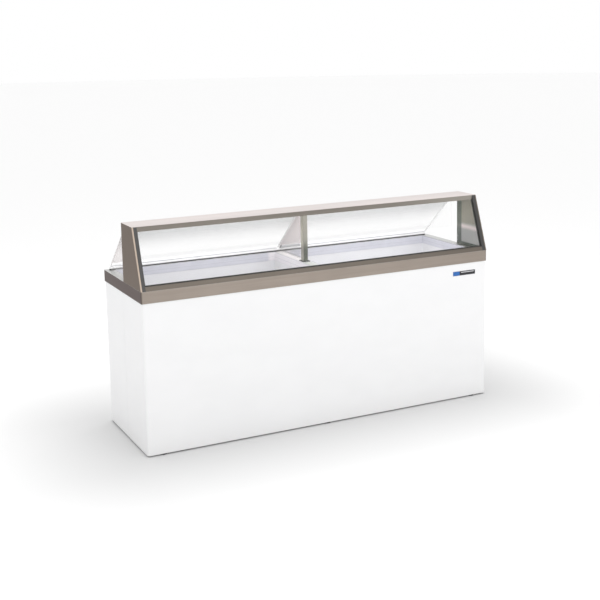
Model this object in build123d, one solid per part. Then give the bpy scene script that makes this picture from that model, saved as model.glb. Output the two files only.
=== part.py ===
from build123d import *
import math
import os

# Ice cream dipping cabinet: a long insulated chest with two open wells, a steel rim, a sloping
# glass guard in front, a narrow canopy shelf on a centre post, and two clear lids behind it.
# Millimetres. +X runs along the length, customers stand at -Y, the server at +Y, and +Z is up.
# The origin is on the floor, under the middle of the cabinet.

# Overall sizes
LENGTH = 2235.0
DEPTH = 686.0
RIM_TOP = 924.0
CANOPY_TOP = 1258.0
HALF_L = LENGTH / 2
HALF_D = DEPTH / 2

# Sheet metal
SHEET = 1.2
FLOOR_GAP = 8.0
CASE_INSET = 3.0
CASE_X = HALF_L - CASE_INSET
CASE_Y = HALF_D - CASE_INSET
CASE_TOP = 900.0
CASE_CORNER = 12.0
SEAM = 1.5
BATTEN_WIDTH = 30.0

# Steel rim round the top
RIM_HEIGHT = 66.0
RIM_CORNER = 5.0
END_FLANGE = 57.0
SIDE_FLANGE = 45.0
WELL_X = HALF_L - END_FLANGE
WELL_Y = HALF_D - SIDE_FLANGE
FLANGE_UNDER = RIM_TOP - SHEET

# Plastic collars, mullion and tank liner
COLLAR = 3.0
COLLAR_DEPTH = 50.0
COLLAR_BOTTOM = FLANGE_UNDER - COLLAR_DEPTH
COLLAR_CORNER = 6.0
MULLION_HALF = 35.0
MULLION_DEPTH = 160.0
MULLION_STEP = 1.0
MULLION_SKIRT = MULLION_HALF - MULLION_STEP
MULLION_EDGE = 6.0
CAP_HALF = 25.0
CAP_THICK = 2.2
CAP_EDGE = 1.0
LINER = 1.0
TANK_X = WELL_X + COLLAR
TANK_Y = WELL_Y + COLLAR
LOW_FLOOR = 140.0
HIGH_FLOOR = 560.0
STEP_X = 292.0

# Insulation
FOAM_GAP = 1.3
FOAM_X = CASE_X - SHEET - FOAM_GAP
FOAM_Y = CASE_Y - SHEET - FOAM_GAP
RISER = 50.0
BAY_X = STEP_X + LINER + RISER
BAY_TOP = 500.0

# Base
PAN_TOP = 68.0
RAIL_BOTTOM = FLOOR_GAP
RAIL_TOP = PAN_TOP - SHEET
RAIL_WIDTH = 40.0
RAIL_WALL = 2.0
RAIL_Y = 337.0
CROSS_X = (-1060.0, -530.0, 0.0, 530.0, 1060.0)
CROSS_WIDTH = 40.0
FOOT_X = (-1020.0, 0.0, 1020.0)
FOOT_Y = 317.0
FOOT_R = 20.0
FOOT_PAD = 5.0
FOOT_EDGE = 2.0
FOOT_NUT_R = 9.0
FOOT_STEM_R = 5.0
FOOT_STEM_TOP = 34.0
STEM_CLEARANCE = 0.2

# Evaporator tube, wound round the tank in grooves of the foam
TUBE_R = 4.75
TUBE_GAP = 0.75
TUBE_X = TANK_X + TUBE_R + TUBE_GAP
TUBE_Y = TANK_Y + TUBE_R + TUBE_GAP
TUBE_RISER_X = STEP_X + LINER + TUBE_R + TUBE_GAP
TUBE_BEND = 15.0
LINER_CORNER = TUBE_BEND - TUBE_R - TUBE_GAP
OUTLET_BEND = 10.0
LENGTH_BENDS = 6
GROOVE = 8.0
LOW_TURNS = (200.0, 280.0, 360.0)
HIGH_TURNS = (600.0, 660.0, 720.0, 780.0)
TURN_SHIFT = 60.0
FIRST_HIGH_JUMP_X = 340.0
OUTLET_X = FIRST_HIGH_JUMP_X + TURN_SHIFT * (len(HIGH_TURNS) - 1)
OUTLET_STEP = 22.0
OUTLET_Y = TUBE_Y + OUTLET_STEP
OUTLET_Z = 505.0
INLET = (360.0, TUBE_Y, LOW_TURNS[0])

# Racks that carry the display cans over the storage space
RACK_Z = 548.0
WIRE_R = 4.0
RACK_SPANS = ((-1054.0, -551.0), (-545.0, -42.0), (42.0, 286.0))
RACK_Y = 290.0
RACK_BARS = 8
LEDGE_WIDTH = 18.0
LEDGE_THICK = 2.0

# Drain
DRAIN_X = -900.0
DRAIN_OUTER_R = 15.0
DRAIN_BORE_R = 12.0
DRAIN_FLANGE_R = 28.0
DRAIN_FLANGE = 2.0
DRAIN_END = 20.0
DRAIN_HOLE_R = 16.0
PLUG_CLEARANCE = 0.06
PLUG_LENGTH = 22.0
PLUG_HEAD_R = 18.0
PLUG_HEAD = 5.0
PLUG_EDGE = 2.0
RING_R = 9.0
RING_WIRE_R = 1.5

# Guard: sloping ends, glass, rails and canopy shelf
CANOPY_FRONT = -HALF_D + 118.0
CANOPY_REAR = -HALF_D + 308.0
FASCIA = 28.0
CANOPY_UNDER = CANOPY_TOP - FASCIA
SHELF_UNDER = CANOPY_TOP - SHEET
GUARD_THICK = 8.0
GUARD_INNER = HALF_L - GUARD_THICK
LINING_GAP = 0.1
LEAN = (CANOPY_FRONT + HALF_D) / (CANOPY_TOP - RIM_TOP)
LEAN_STRETCH = math.hypot(1.0, LEAN)
SIDE_RAIL = 20.0
RAIL_DEPTH = 24.0
RAIL_SETBACK = 1.0
GLASS_SETBACK = 12.0
GLASS = 5.0
GLASS_SLACK = 0.25
GLASS_LEANING = GLASS * LEAN_STRETCH
SLOT_THICK = GLASS_LEANING + 2 * GLASS_SLACK
GLASS_BITE = 10.0
GLASS_BOTTOM = 929.0
GLASS_TOP = 1246.0
BOTTOM_RAIL = 24.0
SHELF_X = GUARD_INNER - SIDE_RAIL
GASKET = 2.6
GASKET_HEIGHT = 4.0
TOP_RAIL_WALL = 2.0
TOP_RAIL_WIDTH = 22.0

# Centre post
POST_WIDTH = 28.0
POST_DEPTH = 38.0
POST_WALL = 1.5
POST_CORNER = 3.0
POST_GAP = 0.3
POST_REAR = CANOPY_REAR - SHEET - POST_GAP
POST_Y = POST_REAR - POST_DEPTH / 2
CAP_TOP = FLANGE_UNDER + CAP_THICK
FOOT_PLATE = 4.0
FOOT_PLATE_Y = 29.0
FOOT_PLATE_CORNER = 4.0
FOOT_SCREW_Y = 24.0

# Lids
HINGE_Y = CANOPY_REAR + 9.0
HINGE_Z = 1244.0
ROD_R = 4.0
BORE_CLEARANCE = 0.05
LUG_R = 7.5
LUG_WIDTH = 8.0
BARREL_R = 7.5
LID_INNER_X = 3.0
LID_OUTER_X = 1090.0
LID_GLASS = 5.0
LID_START = 12.0
CLAMP_END = 26.0
CLAMP_THICK = 10.0
CLAMP_SIDE_GAP = 1.0
BAR_FRONT = 312.0
BAR_REAR = 330.0
BAR_BOTTOM = 930.2
BAR_HEIGHT = 30.0
LID_HIT_Z = 945.8
BAR_EMBED = 8.0
BEVEL_X = 20.0
BEVEL_Z = 25.0
BAR_EDGE = 3.0
TRIM_WIDTH = 8.0
TRIM_THICK = 9.0
TRIM_BITE = 5.0
TRIM_END_GAP = 8.0
CHEEK = 3.0
CHEEK_INSET = 1.5
CHEEK_GAP = 1.5
CHEEK_BOTTOM = 932.0
LUG_SPANS = (
    (-LID_OUTER_X, -LID_OUTER_X + LUG_WIDTH),
    (-LID_INNER_X - LUG_WIDTH, -LID_INNER_X),
    (LID_INNER_X, LID_INNER_X + LUG_WIDTH),
    (LID_OUTER_X - LUG_WIDTH, LID_OUTER_X),
)
LID_SLOPE = math.degrees(math.atan2(HINGE_Z - LID_HIT_Z, BAR_FRONT - HINGE_Y))
LID_REACH = math.hypot(HINGE_Z - LID_HIT_Z, BAR_FRONT - HINGE_Y)
REST_Y = (310.0, 332.0)
REST_GAP = 0.3
REST_TOP = BAR_BOTTOM - REST_GAP

# Machine bay behind the service grille
OPENING_X = (400.0, 1085.0)
OPENING_Z = (90.0, 470.0)
RECESS_Y = 318.0
LIP = 12.0
PLATE_Y = RECESS_Y + SHEET
PLATE_FACE = PLATE_Y + SHEET
PANEL_GAP = 3.0
PANEL_SPLIT = 538.0
SLOT_SPANS = ((562.0, 800.0), (822.0, 1060.0))
FIRST_SLOT = 120.0
SLOT_PITCH = 26.0
SLOT_COUNT = 13
SLOT_HEIGHT = 9.0
HOOD_OUT = 6.5

# Controls on the plate beside the grille
CONTROL_X = 470.0
KNOB_Z = 405.0
KNOB_R = 18.0
KNOB_HEIGHT = 14.0
KNOB_GAP = 0.5
KNOB_EDGE = 2.0
FLUTES = 12
FLUTE_OUT = 1.0
FLUTE_CIRCLE = KNOB_R + FLUTE_OUT
FLUTE_R = 2.2
POINTER = 3.0
SHAFT_R = 3.0
SHAFT_END_GAP = 1.0
THERMOSTAT = (52.0, 40.0, 46.0)
NECK_R = 5.5
SWITCH_Z = 325.0
SWITCH_SIZE = (30.0, 22.0)
SWITCH_BODY = 24.0
SWITCH_FACE = 2.0
ROCKER_SIZE = (22.0, 14.0)
ROCKER_AXIS_Y = PLATE_FACE - 4.0
ROCKER_TILT = 8.0
ROCKER_GAP = 0.5
ROCKER_BACK = 5.0
ROCKER_FRONT = 6.5
ROCKER_DISH = 1.2
ROCKER_SIDE = 1.0
ROCKER_ROOM = 6.0
GLAND_Z = 150.0
GLAND_BORE_R = 4.5
GLAND_THREAD_R = 8.0
GLAND_HEX = 24.0
GLAND_HEX_DEEP = 7.0
GLAND_DOME_R = 10.5
GLAND_OUT = 17.0
GLAND_IN = 12.0
GLAND_NUT = 4.0
GLAND_EDGE = 3.0

# Condensing unit
TRAY_X = (402.0, 1083.0)
TRAY_Y = (-150.0, 308.0)
TRAY = 2.0
TRAY_LIP = 15.0
TRAY_TOP = PAN_TOP + TRAY
COMP_X = 520.0
COMP_Y = 60.0
COMP_R = 85.0
COMP_BASE = 200.0
COMP_PLATE = 4.0
COMP_FEET = 14.0
COMP_HEIGHT = 212.0
COMP_DOME = 38.0
GROMMET_R = 14.0
GROMMET_INSET = 18.0
STUB_R = 6.5
STUB = 15.0
DISCHARGE_Z = 240.0
TERMINAL = (60.0, 30.0, 52.0)
COND_X = (660.0, 980.0)
COND_Y = (262.0, 302.0)
COND_Z = (95.0, 425.0)
COND_MID_Y = (COND_Y[0] + COND_Y[1]) / 2
COND_END = 2.0
COND_STUB = 28.0
COND_STUB_X = COND_X[1] + COND_END + COND_STUB
BEND_ROWS = 5
BEND_R = 14.0
COND_TUBE_R = 4.5
COND_INSET = 20.0
FAN_X = (COND_X[0] + COND_X[1]) / 2
FAN_Z = (COND_Z[0] + COND_Z[1]) / 2
FAN_Y = 236.0
FAN_R = 96.0
FAN_HUB_R = 22.0
FAN_HUB = 24.0
FAN_HUB_EDGE = 5.0
FAN_BLADES = 5
FAN_PITCH = 28.0
BLADE_CHORD = 50.0
BLADE_THICK = 2.0
BLADE_ROOT = 4.0
BLADE_CORNER = 16.0
SHROUD_HOLE_R = 103.0
SHROUD_COLLAR = 12.0
SHROUD_Y = COND_Y[0]
MOTOR_R = 42.0
MOTOR_Y = (142.0, 198.0)
MOTOR_EDGE = 8.0
MOTOR_BORE = 26.0
SHAFT_ROOM = 2.0
FAN_SHAFT_R = 4.0
BRACKET_HALF = 125.0
BRACKET_HEIGHT = 20.0
BRACKET = 2.5
DRIER_X = (700.0, 815.0)
DRIER_Y = -60.0
DRIER_Z = COND_Z[0] + COND_INSET
DRIER_R = 11.0
DRIER_STUB = 12.0
DRIER_STUB_R = 5.0
DRIER_EDGE = 4.0
LINE_R = 4.0
LINE_END_X = 1040.0
LINE_BEND = 12.0
FEED_X = 381.0
FEED_BEND = 9.0
FEED_R = 3.0
SUCTION_Z = 479.0
SUCTION_R = 5.0

# Name plate, blank
PLATE_X = (872.0, 1035.0)
PLATE_DROP = 112.0
PLATE_TOP = RIM_TOP - PLATE_DROP
PLATE_HEIGHT = 28.0
PLATE_CORNER = 3.0

# Screws, all the same pan head
SCREW_R = 4.2
SCREW_HEAD = 2.0
SCREW_CROSS = 5.0
SCREW_SLOT = 1.0
SCREW_SLOT_DEEP = 0.7
SCREW_EDGE = 0.9
GUARD_SCREW_Z = (945.0, 972.0)
GUARD_SCREW_INSET = 12.0
CAP_SCREW_INSET = 40.0
PANEL_SCREW_INSET = 8.0
PANEL_SCREW_X = (412.0, 528.0, 548.0, 811.0, 1074.0)


def block(x, y, z):
    """Box between the two values of each pair."""
    size = Box(x[1] - x[0], y[1] - y[0], z[1] - z[0])
    return Pos((x[0] + x[1]) / 2, (y[0] + y[1]) / 2, (z[0] + z[1]) / 2) * size


def along_x(outline, x):
    """Straight length along X of an outline given as (Y, Z) points."""
    return extrude(Plane.YZ.offset(x[0]) * Polygon(*outline, align=None), amount=x[1] - x[0])


def upright(radius, at, z):
    """Vertical cylinder."""
    return Pos(at[0], at[1], (z[0] + z[1]) / 2) * Cylinder(radius, z[1] - z[0])


def lying(radius, at, y):
    """Cylinder along Y, at an (X, Z) point."""
    return Pos(at[0], (y[0] + y[1]) / 2, at[1]) * Rot(90, 0, 0) * Cylinder(radius, y[1] - y[0])


def across(radius, at, x):
    """Cylinder along X, at a (Y, Z) point."""
    return Pos((x[0] + x[1]) / 2, at[0], at[1]) * Rot(0, 90, 0) * Cylinder(radius, x[1] - x[0])


def rounded_ring(x, y, corner, wall, z):
    """Rectangular ring with rounded outer corners, x and y being its outer half sizes."""
    outer = RectangleRounded(2 * x, 2 * y, corner)
    inner = RectangleRounded(2 * (x - wall), 2 * (y - wall), corner - wall)
    return Pos(0, 0, z[0]) * extrude(outer - inner, amount=z[1] - z[0])


def round_block(x, half_y, z, corner):
    """Block with rounded upright edges, even about the X axis."""
    return Pos((x[0] + x[1]) / 2, 0, z[0]) * extrude(
        RectangleRounded(x[1] - x[0], 2 * half_y, corner), amount=z[1] - z[0]
    )


def tube(points, bend, radius):
    """Round bar along straight runs joined by arcs."""
    path = FilletPolyline(*points, radius=bend)
    return sweep(Plane(path @ 0, z_dir=path % 0) * Circle(radius), path=path)


def mirrored(solid):
    """The same piece on the other side of the cabinet's middle."""
    return mirror(solid, about=Plane.YZ)


def front_line(z, setback):
    """Y of the guard's sloping front edge at a height, moved back by setback."""
    return -HALF_D + LEAN * (z - RIM_TOP) + setback


def sloped(setback, thick, z):
    """Outline of a slice of the guard's front: parallel to its edge, thick along Y."""
    return [
        (front_line(z[0], setback), z[0]),
        (front_line(z[0], setback + thick), z[0]),
        (front_line(z[1], setback + thick), z[1]),
        (front_line(z[1], setback), z[1]),
    ]


# Base ------------------------------------------------------------------------------------------

def base_rail(side):
    """Folded channel along the front or rear, open towards the middle, with holes for the feet."""
    outer_y, inner_y = side * RAIL_Y, side * (RAIL_Y - RAIL_WIDTH)
    hollow_y = side * (RAIL_Y - RAIL_WALL)
    x = (-FOAM_X + CASE_CORNER, FOAM_X - CASE_CORNER)
    rail = block(x, sorted((inner_y, outer_y)), (RAIL_BOTTOM, RAIL_TOP))
    rail -= block(x, sorted((inner_y, hollow_y)), (RAIL_BOTTOM + RAIL_WALL, RAIL_TOP - RAIL_WALL))
    for foot_x in FOOT_X:
        at = (foot_x, side * FOOT_Y)
        rail -= upright(FOOT_STEM_R + STEM_CLEARANCE, at, (0, RAIL_BOTTOM + RAIL_WALL))
    return rail


def crossmember(x):
    """Folded channel from rail to rail, open downwards."""
    y = (-RAIL_Y + RAIL_WIDTH, RAIL_Y - RAIL_WIDTH)
    half = CROSS_WIDTH / 2
    member = block((x - half, x + half), y, (RAIL_BOTTOM, RAIL_TOP))
    inside = half - RAIL_WALL
    return member - block((x - inside, x + inside), y, (RAIL_BOTTOM, RAIL_TOP - RAIL_WALL))


def base_pan():
    """Flat sheet over the rails, with the drain's hole."""
    pan = round_block((-FOAM_X, FOAM_X), FOAM_Y, (RAIL_TOP, PAN_TOP), CASE_CORNER)
    return pan - upright(DRAIN_HOLE_R, (DRAIN_X, 0), (RAIL_TOP, PAN_TOP))


def levelling_foot(x, y):
    """Round glide with a lock nut and a stem that screws into the rail."""
    foot = upright(FOOT_R, (x, y), (0, FOOT_PAD))
    foot = fillet(foot.edges().group_by(Axis.Z)[-1], FOOT_EDGE)
    nut = Pos(x, y, FOOT_PAD) * extrude(RegularPolygon(FOOT_NUT_R, 6), amount=FLOOR_GAP - FOOT_PAD)
    return foot + nut + upright(FOOT_STEM_R, (x, y), (FOOT_PAD, FOOT_STEM_TOP))


# Case ------------------------------------------------------------------------------------------

def case_half(side):
    """Front or rear panel, with its two rounded corners and half of each end."""
    ring = rounded_ring(CASE_X, CASE_Y, CASE_CORNER, SHEET, (FLOOR_GAP, CASE_TOP))
    half = sorted((side * SEAM / 2, side * HALF_D))
    return ring & block((-HALF_L, HALF_L), half, (0, RIM_TOP))


def rear_case():
    """Rear half with the machine bay's opening, whose edges turn in to a lip for the panels."""
    case = case_half(1)
    inside_y = CASE_Y - SHEET
    case -= block(OPENING_X, (inside_y - SHEET, HALF_D), OPENING_Z)
    recess = block(OPENING_X, (RECESS_Y, CASE_Y), OPENING_Z)
    inner_x = (OPENING_X[0] + SHEET, OPENING_X[1] - SHEET)
    inner_z = (OPENING_Z[0] + SHEET, OPENING_Z[1] - SHEET)
    recess -= block(inner_x, (PLATE_Y, CASE_Y), inner_z)
    window_z = (OPENING_Z[0] + LIP, OPENING_Z[1] - LIP)
    windows = ((OPENING_X[0] + LIP, PANEL_SPLIT - LIP), (PANEL_SPLIT + LIP, OPENING_X[1] - LIP))
    for window_x in windows:
        recess -= block(window_x, (RECESS_Y, PLATE_Y), window_z)
    return case + recess


def seam_batten(side):
    """Flat strip behind the seam in the middle of an end."""
    outer = side * (CASE_X - SHEET)
    inner = side * (CASE_X - 2 * SHEET)
    half = BATTEN_WIDTH / 2
    return block(sorted((inner, outer)), (-half, half), (PAN_TOP, CASE_TOP))


# Insulation and tank ---------------------------------------------------------------------------

def coil_points():
    """Corners of the evaporator tube: low turns round the storage space, then the high turns."""
    points = [INLET]
    jump_y = TUBE_Y - TURN_SHIFT
    for z, above in zip(LOW_TURNS, LOW_TURNS[1:]):
        points += [(-TUBE_X, TUBE_Y, z), (-TUBE_X, -TUBE_Y, z), (TUBE_RISER_X, -TUBE_Y, z)]
        points += [(TUBE_RISER_X, jump_y, z), (TUBE_RISER_X, jump_y, above)]
        points.append((TUBE_RISER_X, TUBE_Y, above))
        jump_y -= TURN_SHIFT
    z = LOW_TURNS[-1]
    points += [(-TUBE_X, TUBE_Y, z), (-TUBE_X, -TUBE_Y, z), (TUBE_RISER_X, -TUBE_Y, z)]
    points += [(TUBE_RISER_X, TUBE_Y, z), (TUBE_RISER_X, TUBE_Y, HIGH_TURNS[0])]
    jump_x = FIRST_HIGH_JUMP_X
    for z, above in zip(HIGH_TURNS, HIGH_TURNS[1:]):
        points += high_turn(z) + [(jump_x, TUBE_Y, z), (jump_x, TUBE_Y, above)]
        jump_x += TURN_SHIFT
    z = HIGH_TURNS[-1]
    points += high_turn(z) + [(OUTLET_X, TUBE_Y, z), (OUTLET_X, OUTLET_Y, z)]
    points.append((OUTLET_X, OUTLET_Y, OUTLET_Z))
    return points


def high_turn(z):
    """The four corners of one turn round the whole tank."""
    corners = ((-TUBE_X, TUBE_Y), (-TUBE_X, -TUBE_Y), (TUBE_X, -TUBE_Y), (TUBE_X, TUBE_Y))
    return [(x, y, z) for x, y in corners]


def evaporator_coil():
    """Lengths of tube, end to end, which step outwards at last to pass the turns below."""
    points = coil_points()
    bends = [TUBE_BEND] * (len(points) - 4) + [OUTLET_BEND] * 2
    lengths, start = [], points[0]
    for first in range(1, len(points) - 1, LENGTH_BENDS):
        last = min(first + LENGTH_BENDS, len(points) - 1)
        end = points[last]
        if last < len(points) - 1:
            end = tuple((a + b) / 2 for a, b in zip(points[last - 1], points[last]))
        lengths.append(tube([start, *points[first:last], end], bends[first - 1:last - 1], TUBE_R))
        start = end
    return lengths


def groove(start, end):
    """Square channel for one straight run of the tube."""
    spans = [(min(a, b) - GROOVE, max(a, b) + GROOVE) for a, b in zip(start, end)]
    return block(*spans)


def insulation():
    """Foam slabs: walls round the display space, walls round the storage space, and two floors."""
    high, low = (BAY_TOP, FLANGE_UNDER), (PAN_TOP, BAY_TOP)
    front, rear = (-FOAM_Y, -TANK_Y), (TANK_Y, FOAM_Y)
    left, right = (-FOAM_X, -TANK_X), (TANK_X, FOAM_X)
    between = (-TANK_Y, TANK_Y)
    slabs = [
        block((-FOAM_X, FOAM_X), front, high),
        block((-FOAM_X, FOAM_X), rear, high),
        block(left, between, high),
        block(right, between, high),
        block((-FOAM_X, BAY_X), front, low),
        block((-FOAM_X, BAY_X), rear, low),
        block(left, between, low),
        block((STEP_X + LINER, BAY_X), between, (PAN_TOP, HIGH_FLOOR - LINER)),
        block((BAY_X, TANK_X), between, (BAY_TOP, HIGH_FLOOR - LINER)),
        block((-TANK_X, STEP_X + LINER), between, (PAN_TOP, LOW_FLOOR - LINER)),
    ]
    points = coil_points()
    grooves = [groove(start, end) for start, end in zip(points, points[1:])]
    grooves.append(upright(DRAIN_HOLE_R, (DRAIN_X, 0), (PAN_TOP, LOW_FLOOR)))
    case_inside = round_block((-FOAM_X, FOAM_X), FOAM_Y, (PAN_TOP, FLANGE_UNDER), CASE_CORNER)
    return [(slab & case_inside) - grooves for slab in slabs]


def tank_liner():
    """Thin white lining of the whole tank: deep at the left, raised over the machine bay."""
    high, low = (HIGH_FLOOR - LINER, COLLAR_BOTTOM), (LOW_FLOOR - LINER, HIGH_FLOOR)
    liner = round_block((-TANK_X, TANK_X), TANK_Y, high, LINER_CORNER)
    liner += round_block((-TANK_X, STEP_X + LINER), TANK_Y, low, LINER_CORNER)
    x, y, corner = TANK_X - LINER, TANK_Y - LINER, LINER_CORNER - LINER
    liner -= round_block((-x, x), y, (HIGH_FLOOR, COLLAR_BOTTOM), corner)
    liner -= round_block((-x, STEP_X), y, (LOW_FLOOR, HIGH_FLOOR), corner)
    return liner - upright(DRAIN_HOLE_R, (DRAIN_X, 0), (LOW_FLOOR - LINER, LOW_FLOOR))


def well_collar():
    """Plastic collar that lines the mouth of the right well."""
    width = WELL_X - MULLION_HALF
    ring = rounded_ring(
        width / 2 + COLLAR, TANK_Y, COLLAR_CORNER + COLLAR, COLLAR, (COLLAR_BOTTOM, FLANGE_UNDER)
    )
    return Pos(MULLION_HALF + width / 2, 0, 0) * ring


def mullion():
    """Insulated beam between the wells, narrower where the collars clasp it."""
    y = (-TANK_Y, TANK_Y)
    neck = MULLION_HALF - COLLAR
    beam = block((-neck, neck), y, (COLLAR_BOTTOM, FLANGE_UNDER))
    body = block((-MULLION_SKIRT, MULLION_SKIRT), (-TANK_Y + LINER, TANK_Y - LINER),
                 (FLANGE_UNDER - MULLION_DEPTH, COLLAR_BOTTOM))
    lower = body.edges().filter_by(Axis.Y).group_by(Axis.Z)[0]
    return beam + fillet(lower, MULLION_EDGE)


def mullion_cap():
    """Flat strip along the top of the mullion, with eased edges."""
    cap = block((-CAP_HALF, CAP_HALF), (-WELL_Y, WELL_Y), (FLANGE_UNDER, CAP_TOP))
    return fillet(cap.edges().filter_by(Axis.Y).group_by(Axis.Z)[-1], CAP_EDGE)


def rim():
    """The steel rim's mitred lengths, a flange with a skirt turned down: front, right, rear, left."""
    z = (RIM_TOP - RIM_HEIGHT, RIM_TOP)
    whole = rounded_ring(HALF_L, HALF_D, RIM_CORNER, SHEET, z)
    flange = RectangleRounded(LENGTH, DEPTH, RIM_CORNER) - Rectangle(2 * WELL_X, 2 * WELL_Y)
    whole += Pos(0, 0, FLANGE_UNDER) * extrude(flange, amount=SHEET)
    corners = [(-HALF_L, -HALF_D), (HALF_L, -HALF_D), (HALF_L, HALF_D), (-HALF_L, HALF_D)]
    mitres = [(-WELL_X, -WELL_Y), (WELL_X, -WELL_Y), (WELL_X, WELL_Y), (-WELL_X, WELL_Y)]
    lengths = []
    for side in range(4):
        after = (side + 1) % 4
        outline = Polygon(corners[side], corners[after], mitres[after], mitres[side], align=None)
        lengths.append(whole & Pos(0, 0, z[0]) * extrude(outline, amount=RIM_HEIGHT))
    return lengths


def can_rack(span):
    """Wires of one rack: three long wires under a row of cross wires."""
    wires = [across(WIRE_R, (y, RACK_Z), span) for y in (-RACK_Y, 0, RACK_Y)]
    pitch = (span[1] - span[0] - 2 * WIRE_R) / (RACK_BARS - 1)
    for bar in range(RACK_BARS):
        x = span[0] + WIRE_R + bar * pitch
        wires.append(lying(WIRE_R, (x, RACK_Z + 2 * WIRE_R), (-RACK_Y - WIRE_R, RACK_Y + WIRE_R)))
    return wires


def rack_ledge(side):
    """Angle along the front or rear wall of the storage space, which carries the racks."""
    wall = TANK_Y - LINER
    top = RACK_Z - WIRE_R
    x = (-TANK_X + LINER_CORNER, STEP_X - LINER_CORNER)
    shelf = block(x, sorted((side * (wall - LEDGE_WIDTH), side * wall)), (top - LEDGE_THICK, top))
    back = sorted((side * (wall - LEDGE_THICK), side * wall))
    return shelf + block(x, back, (top - LEDGE_WIDTH, top))


def drain_fitting():
    """Flanged tube through the floor."""
    at = (DRAIN_X, 0)
    fitting = upright(DRAIN_OUTER_R, at, (DRAIN_END, LOW_FLOOR))
    fitting += upright(DRAIN_FLANGE_R, at, (LOW_FLOOR, LOW_FLOOR + DRAIN_FLANGE))
    return fitting - upright(DRAIN_BORE_R, at, (DRAIN_END, LOW_FLOOR + DRAIN_FLANGE))


def drain_plug():
    """Rubber plug with a head and a pull ring."""
    at = (DRAIN_X, 0)
    seat = LOW_FLOOR + DRAIN_FLANGE
    plug = upright(DRAIN_BORE_R - PLUG_CLEARANCE, at, (seat - PLUG_LENGTH, seat))
    head = upright(PLUG_HEAD_R, at, (seat, seat + PLUG_HEAD))
    plug += fillet(head.edges().group_by(Axis.Z)[-1], PLUG_EDGE)
    ring = Rot(90, 0, 0) * Torus(RING_R, RING_WIRE_R)
    return plug + Pos(DRAIN_X, 0, seat + PLUG_HEAD + RING_R - RING_WIRE_R) * ring


# Guard and canopy ------------------------------------------------------------------------------

def guard_outline():
    """Side view of a guard end, as a face: upright at the rear, sloping at the front."""
    corners = [
        (-HALF_D, RIM_TOP),
        (CANOPY_REAR, RIM_TOP),
        (CANOPY_REAR, SHELF_UNDER),
        (front_line(SHELF_UNDER, 0), SHELF_UNDER),
    ]
    return Polygon(*corners, align=None)


def guard_end():
    """Right end: a shallow folded pan, open inwards."""
    outline = guard_outline()
    pan = extrude(Plane.YZ.offset(GUARD_INNER) * outline, amount=GUARD_THICK)
    inside = Plane.YZ.offset(GUARD_INNER) * offset(outline, amount=-SHEET)
    return pan - extrude(inside, amount=GUARD_THICK - SHEET)


def guard_lining():
    """Flat sheet that closes the right end's pan."""
    outline = offset(guard_outline(), amount=-SHEET - LINING_GAP)
    return extrude(Plane.YZ.offset(GUARD_INNER) * outline, amount=SHEET)


def glass_side_rail():
    """Right side channel that holds the glass's edge."""
    x = (SHELF_X, GUARD_INNER)
    rail = along_x(sloped(RAIL_SETBACK, RAIL_DEPTH, (RIM_TOP, SHELF_UNDER)), x)
    slot = sloped(GLASS_SETBACK - GLASS_SLACK, SLOT_THICK, (RIM_TOP, SHELF_UNDER))
    return rail - along_x(slot, (SHELF_X, SHELF_X + GLASS_BITE + GLASS_SLACK))


def glass_bottom_rail():
    """Channel along the front of the rim, between the side channels."""
    x = (-SHELF_X, SHELF_X)
    top = RIM_TOP + BOTTOM_RAIL
    rail = along_x(sloped(RAIL_SETBACK, RAIL_DEPTH, (RIM_TOP, top)), x)
    slot = sloped(GLASS_SETBACK - GLASS_SLACK, SLOT_THICK, (GLASS_BOTTOM, top))
    return rail - along_x(slot, x)


def front_glass():
    """One long pane, leaning back."""
    edge = SHELF_X + GLASS_BITE
    return along_x(sloped(GLASS_SETBACK, GLASS_LEANING, (GLASS_BOTTOM, GLASS_TOP)), (-edge, edge))


def glass_gasket():
    """Rubber beads against the front of the glass: one along the bottom and one up each side."""
    setback = GLASS_SETBACK - GASKET
    bottom = RIM_TOP + BOTTOM_RAIL
    low = (bottom, bottom + GASKET_HEIGHT)
    tall = (bottom + GASKET_HEIGHT, CANOPY_UNDER)
    edge = (SHELF_X - GASKET_HEIGHT, SHELF_X)
    right = along_x(sloped(setback, GASKET, tall), edge)
    front = along_x(sloped(setback, GASKET, low), (-SHELF_X, SHELF_X))
    rear = along_x(sloped(GLASS_SETBACK + GLASS_LEANING, GASKET, low), (-SHELF_X, SHELF_X))
    return [front, rear, right, mirrored(right)]


def canopy_shelf():
    """Folded tray: a top over the whole length and a fascia down its front and rear."""
    y = (CANOPY_FRONT, CANOPY_REAR)
    shelf = block((-HALF_L, HALF_L), y, (SHELF_UNDER, CANOPY_TOP))
    fascia_z = (CANOPY_UNDER, SHELF_UNDER)
    x = (-SHELF_X, SHELF_X)
    shelf += block(x, (CANOPY_FRONT, CANOPY_FRONT + SHEET), fascia_z)
    rear_x = (-GUARD_INNER, GUARD_INNER)
    shelf += block(rear_x, (CANOPY_REAR - SHEET, CANOPY_REAR), fascia_z)
    return shelf


def glass_top_rail():
    """Angle behind the pane's top edge, under the shelf."""
    z = (CANOPY_UNDER, SHELF_UNDER)
    setback = GLASS_SETBACK + GLASS_LEANING + GLASS_SLACK
    x = (-SHELF_X, SHELF_X)
    web = along_x(sloped(setback, TOP_RAIL_WALL, z), x)
    top_front = front_line(SHELF_UNDER, setback)
    return web + block(x, (top_front, top_front + TOP_RAIL_WIDTH), (z[1] - TOP_RAIL_WALL, z[1]))


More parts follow.
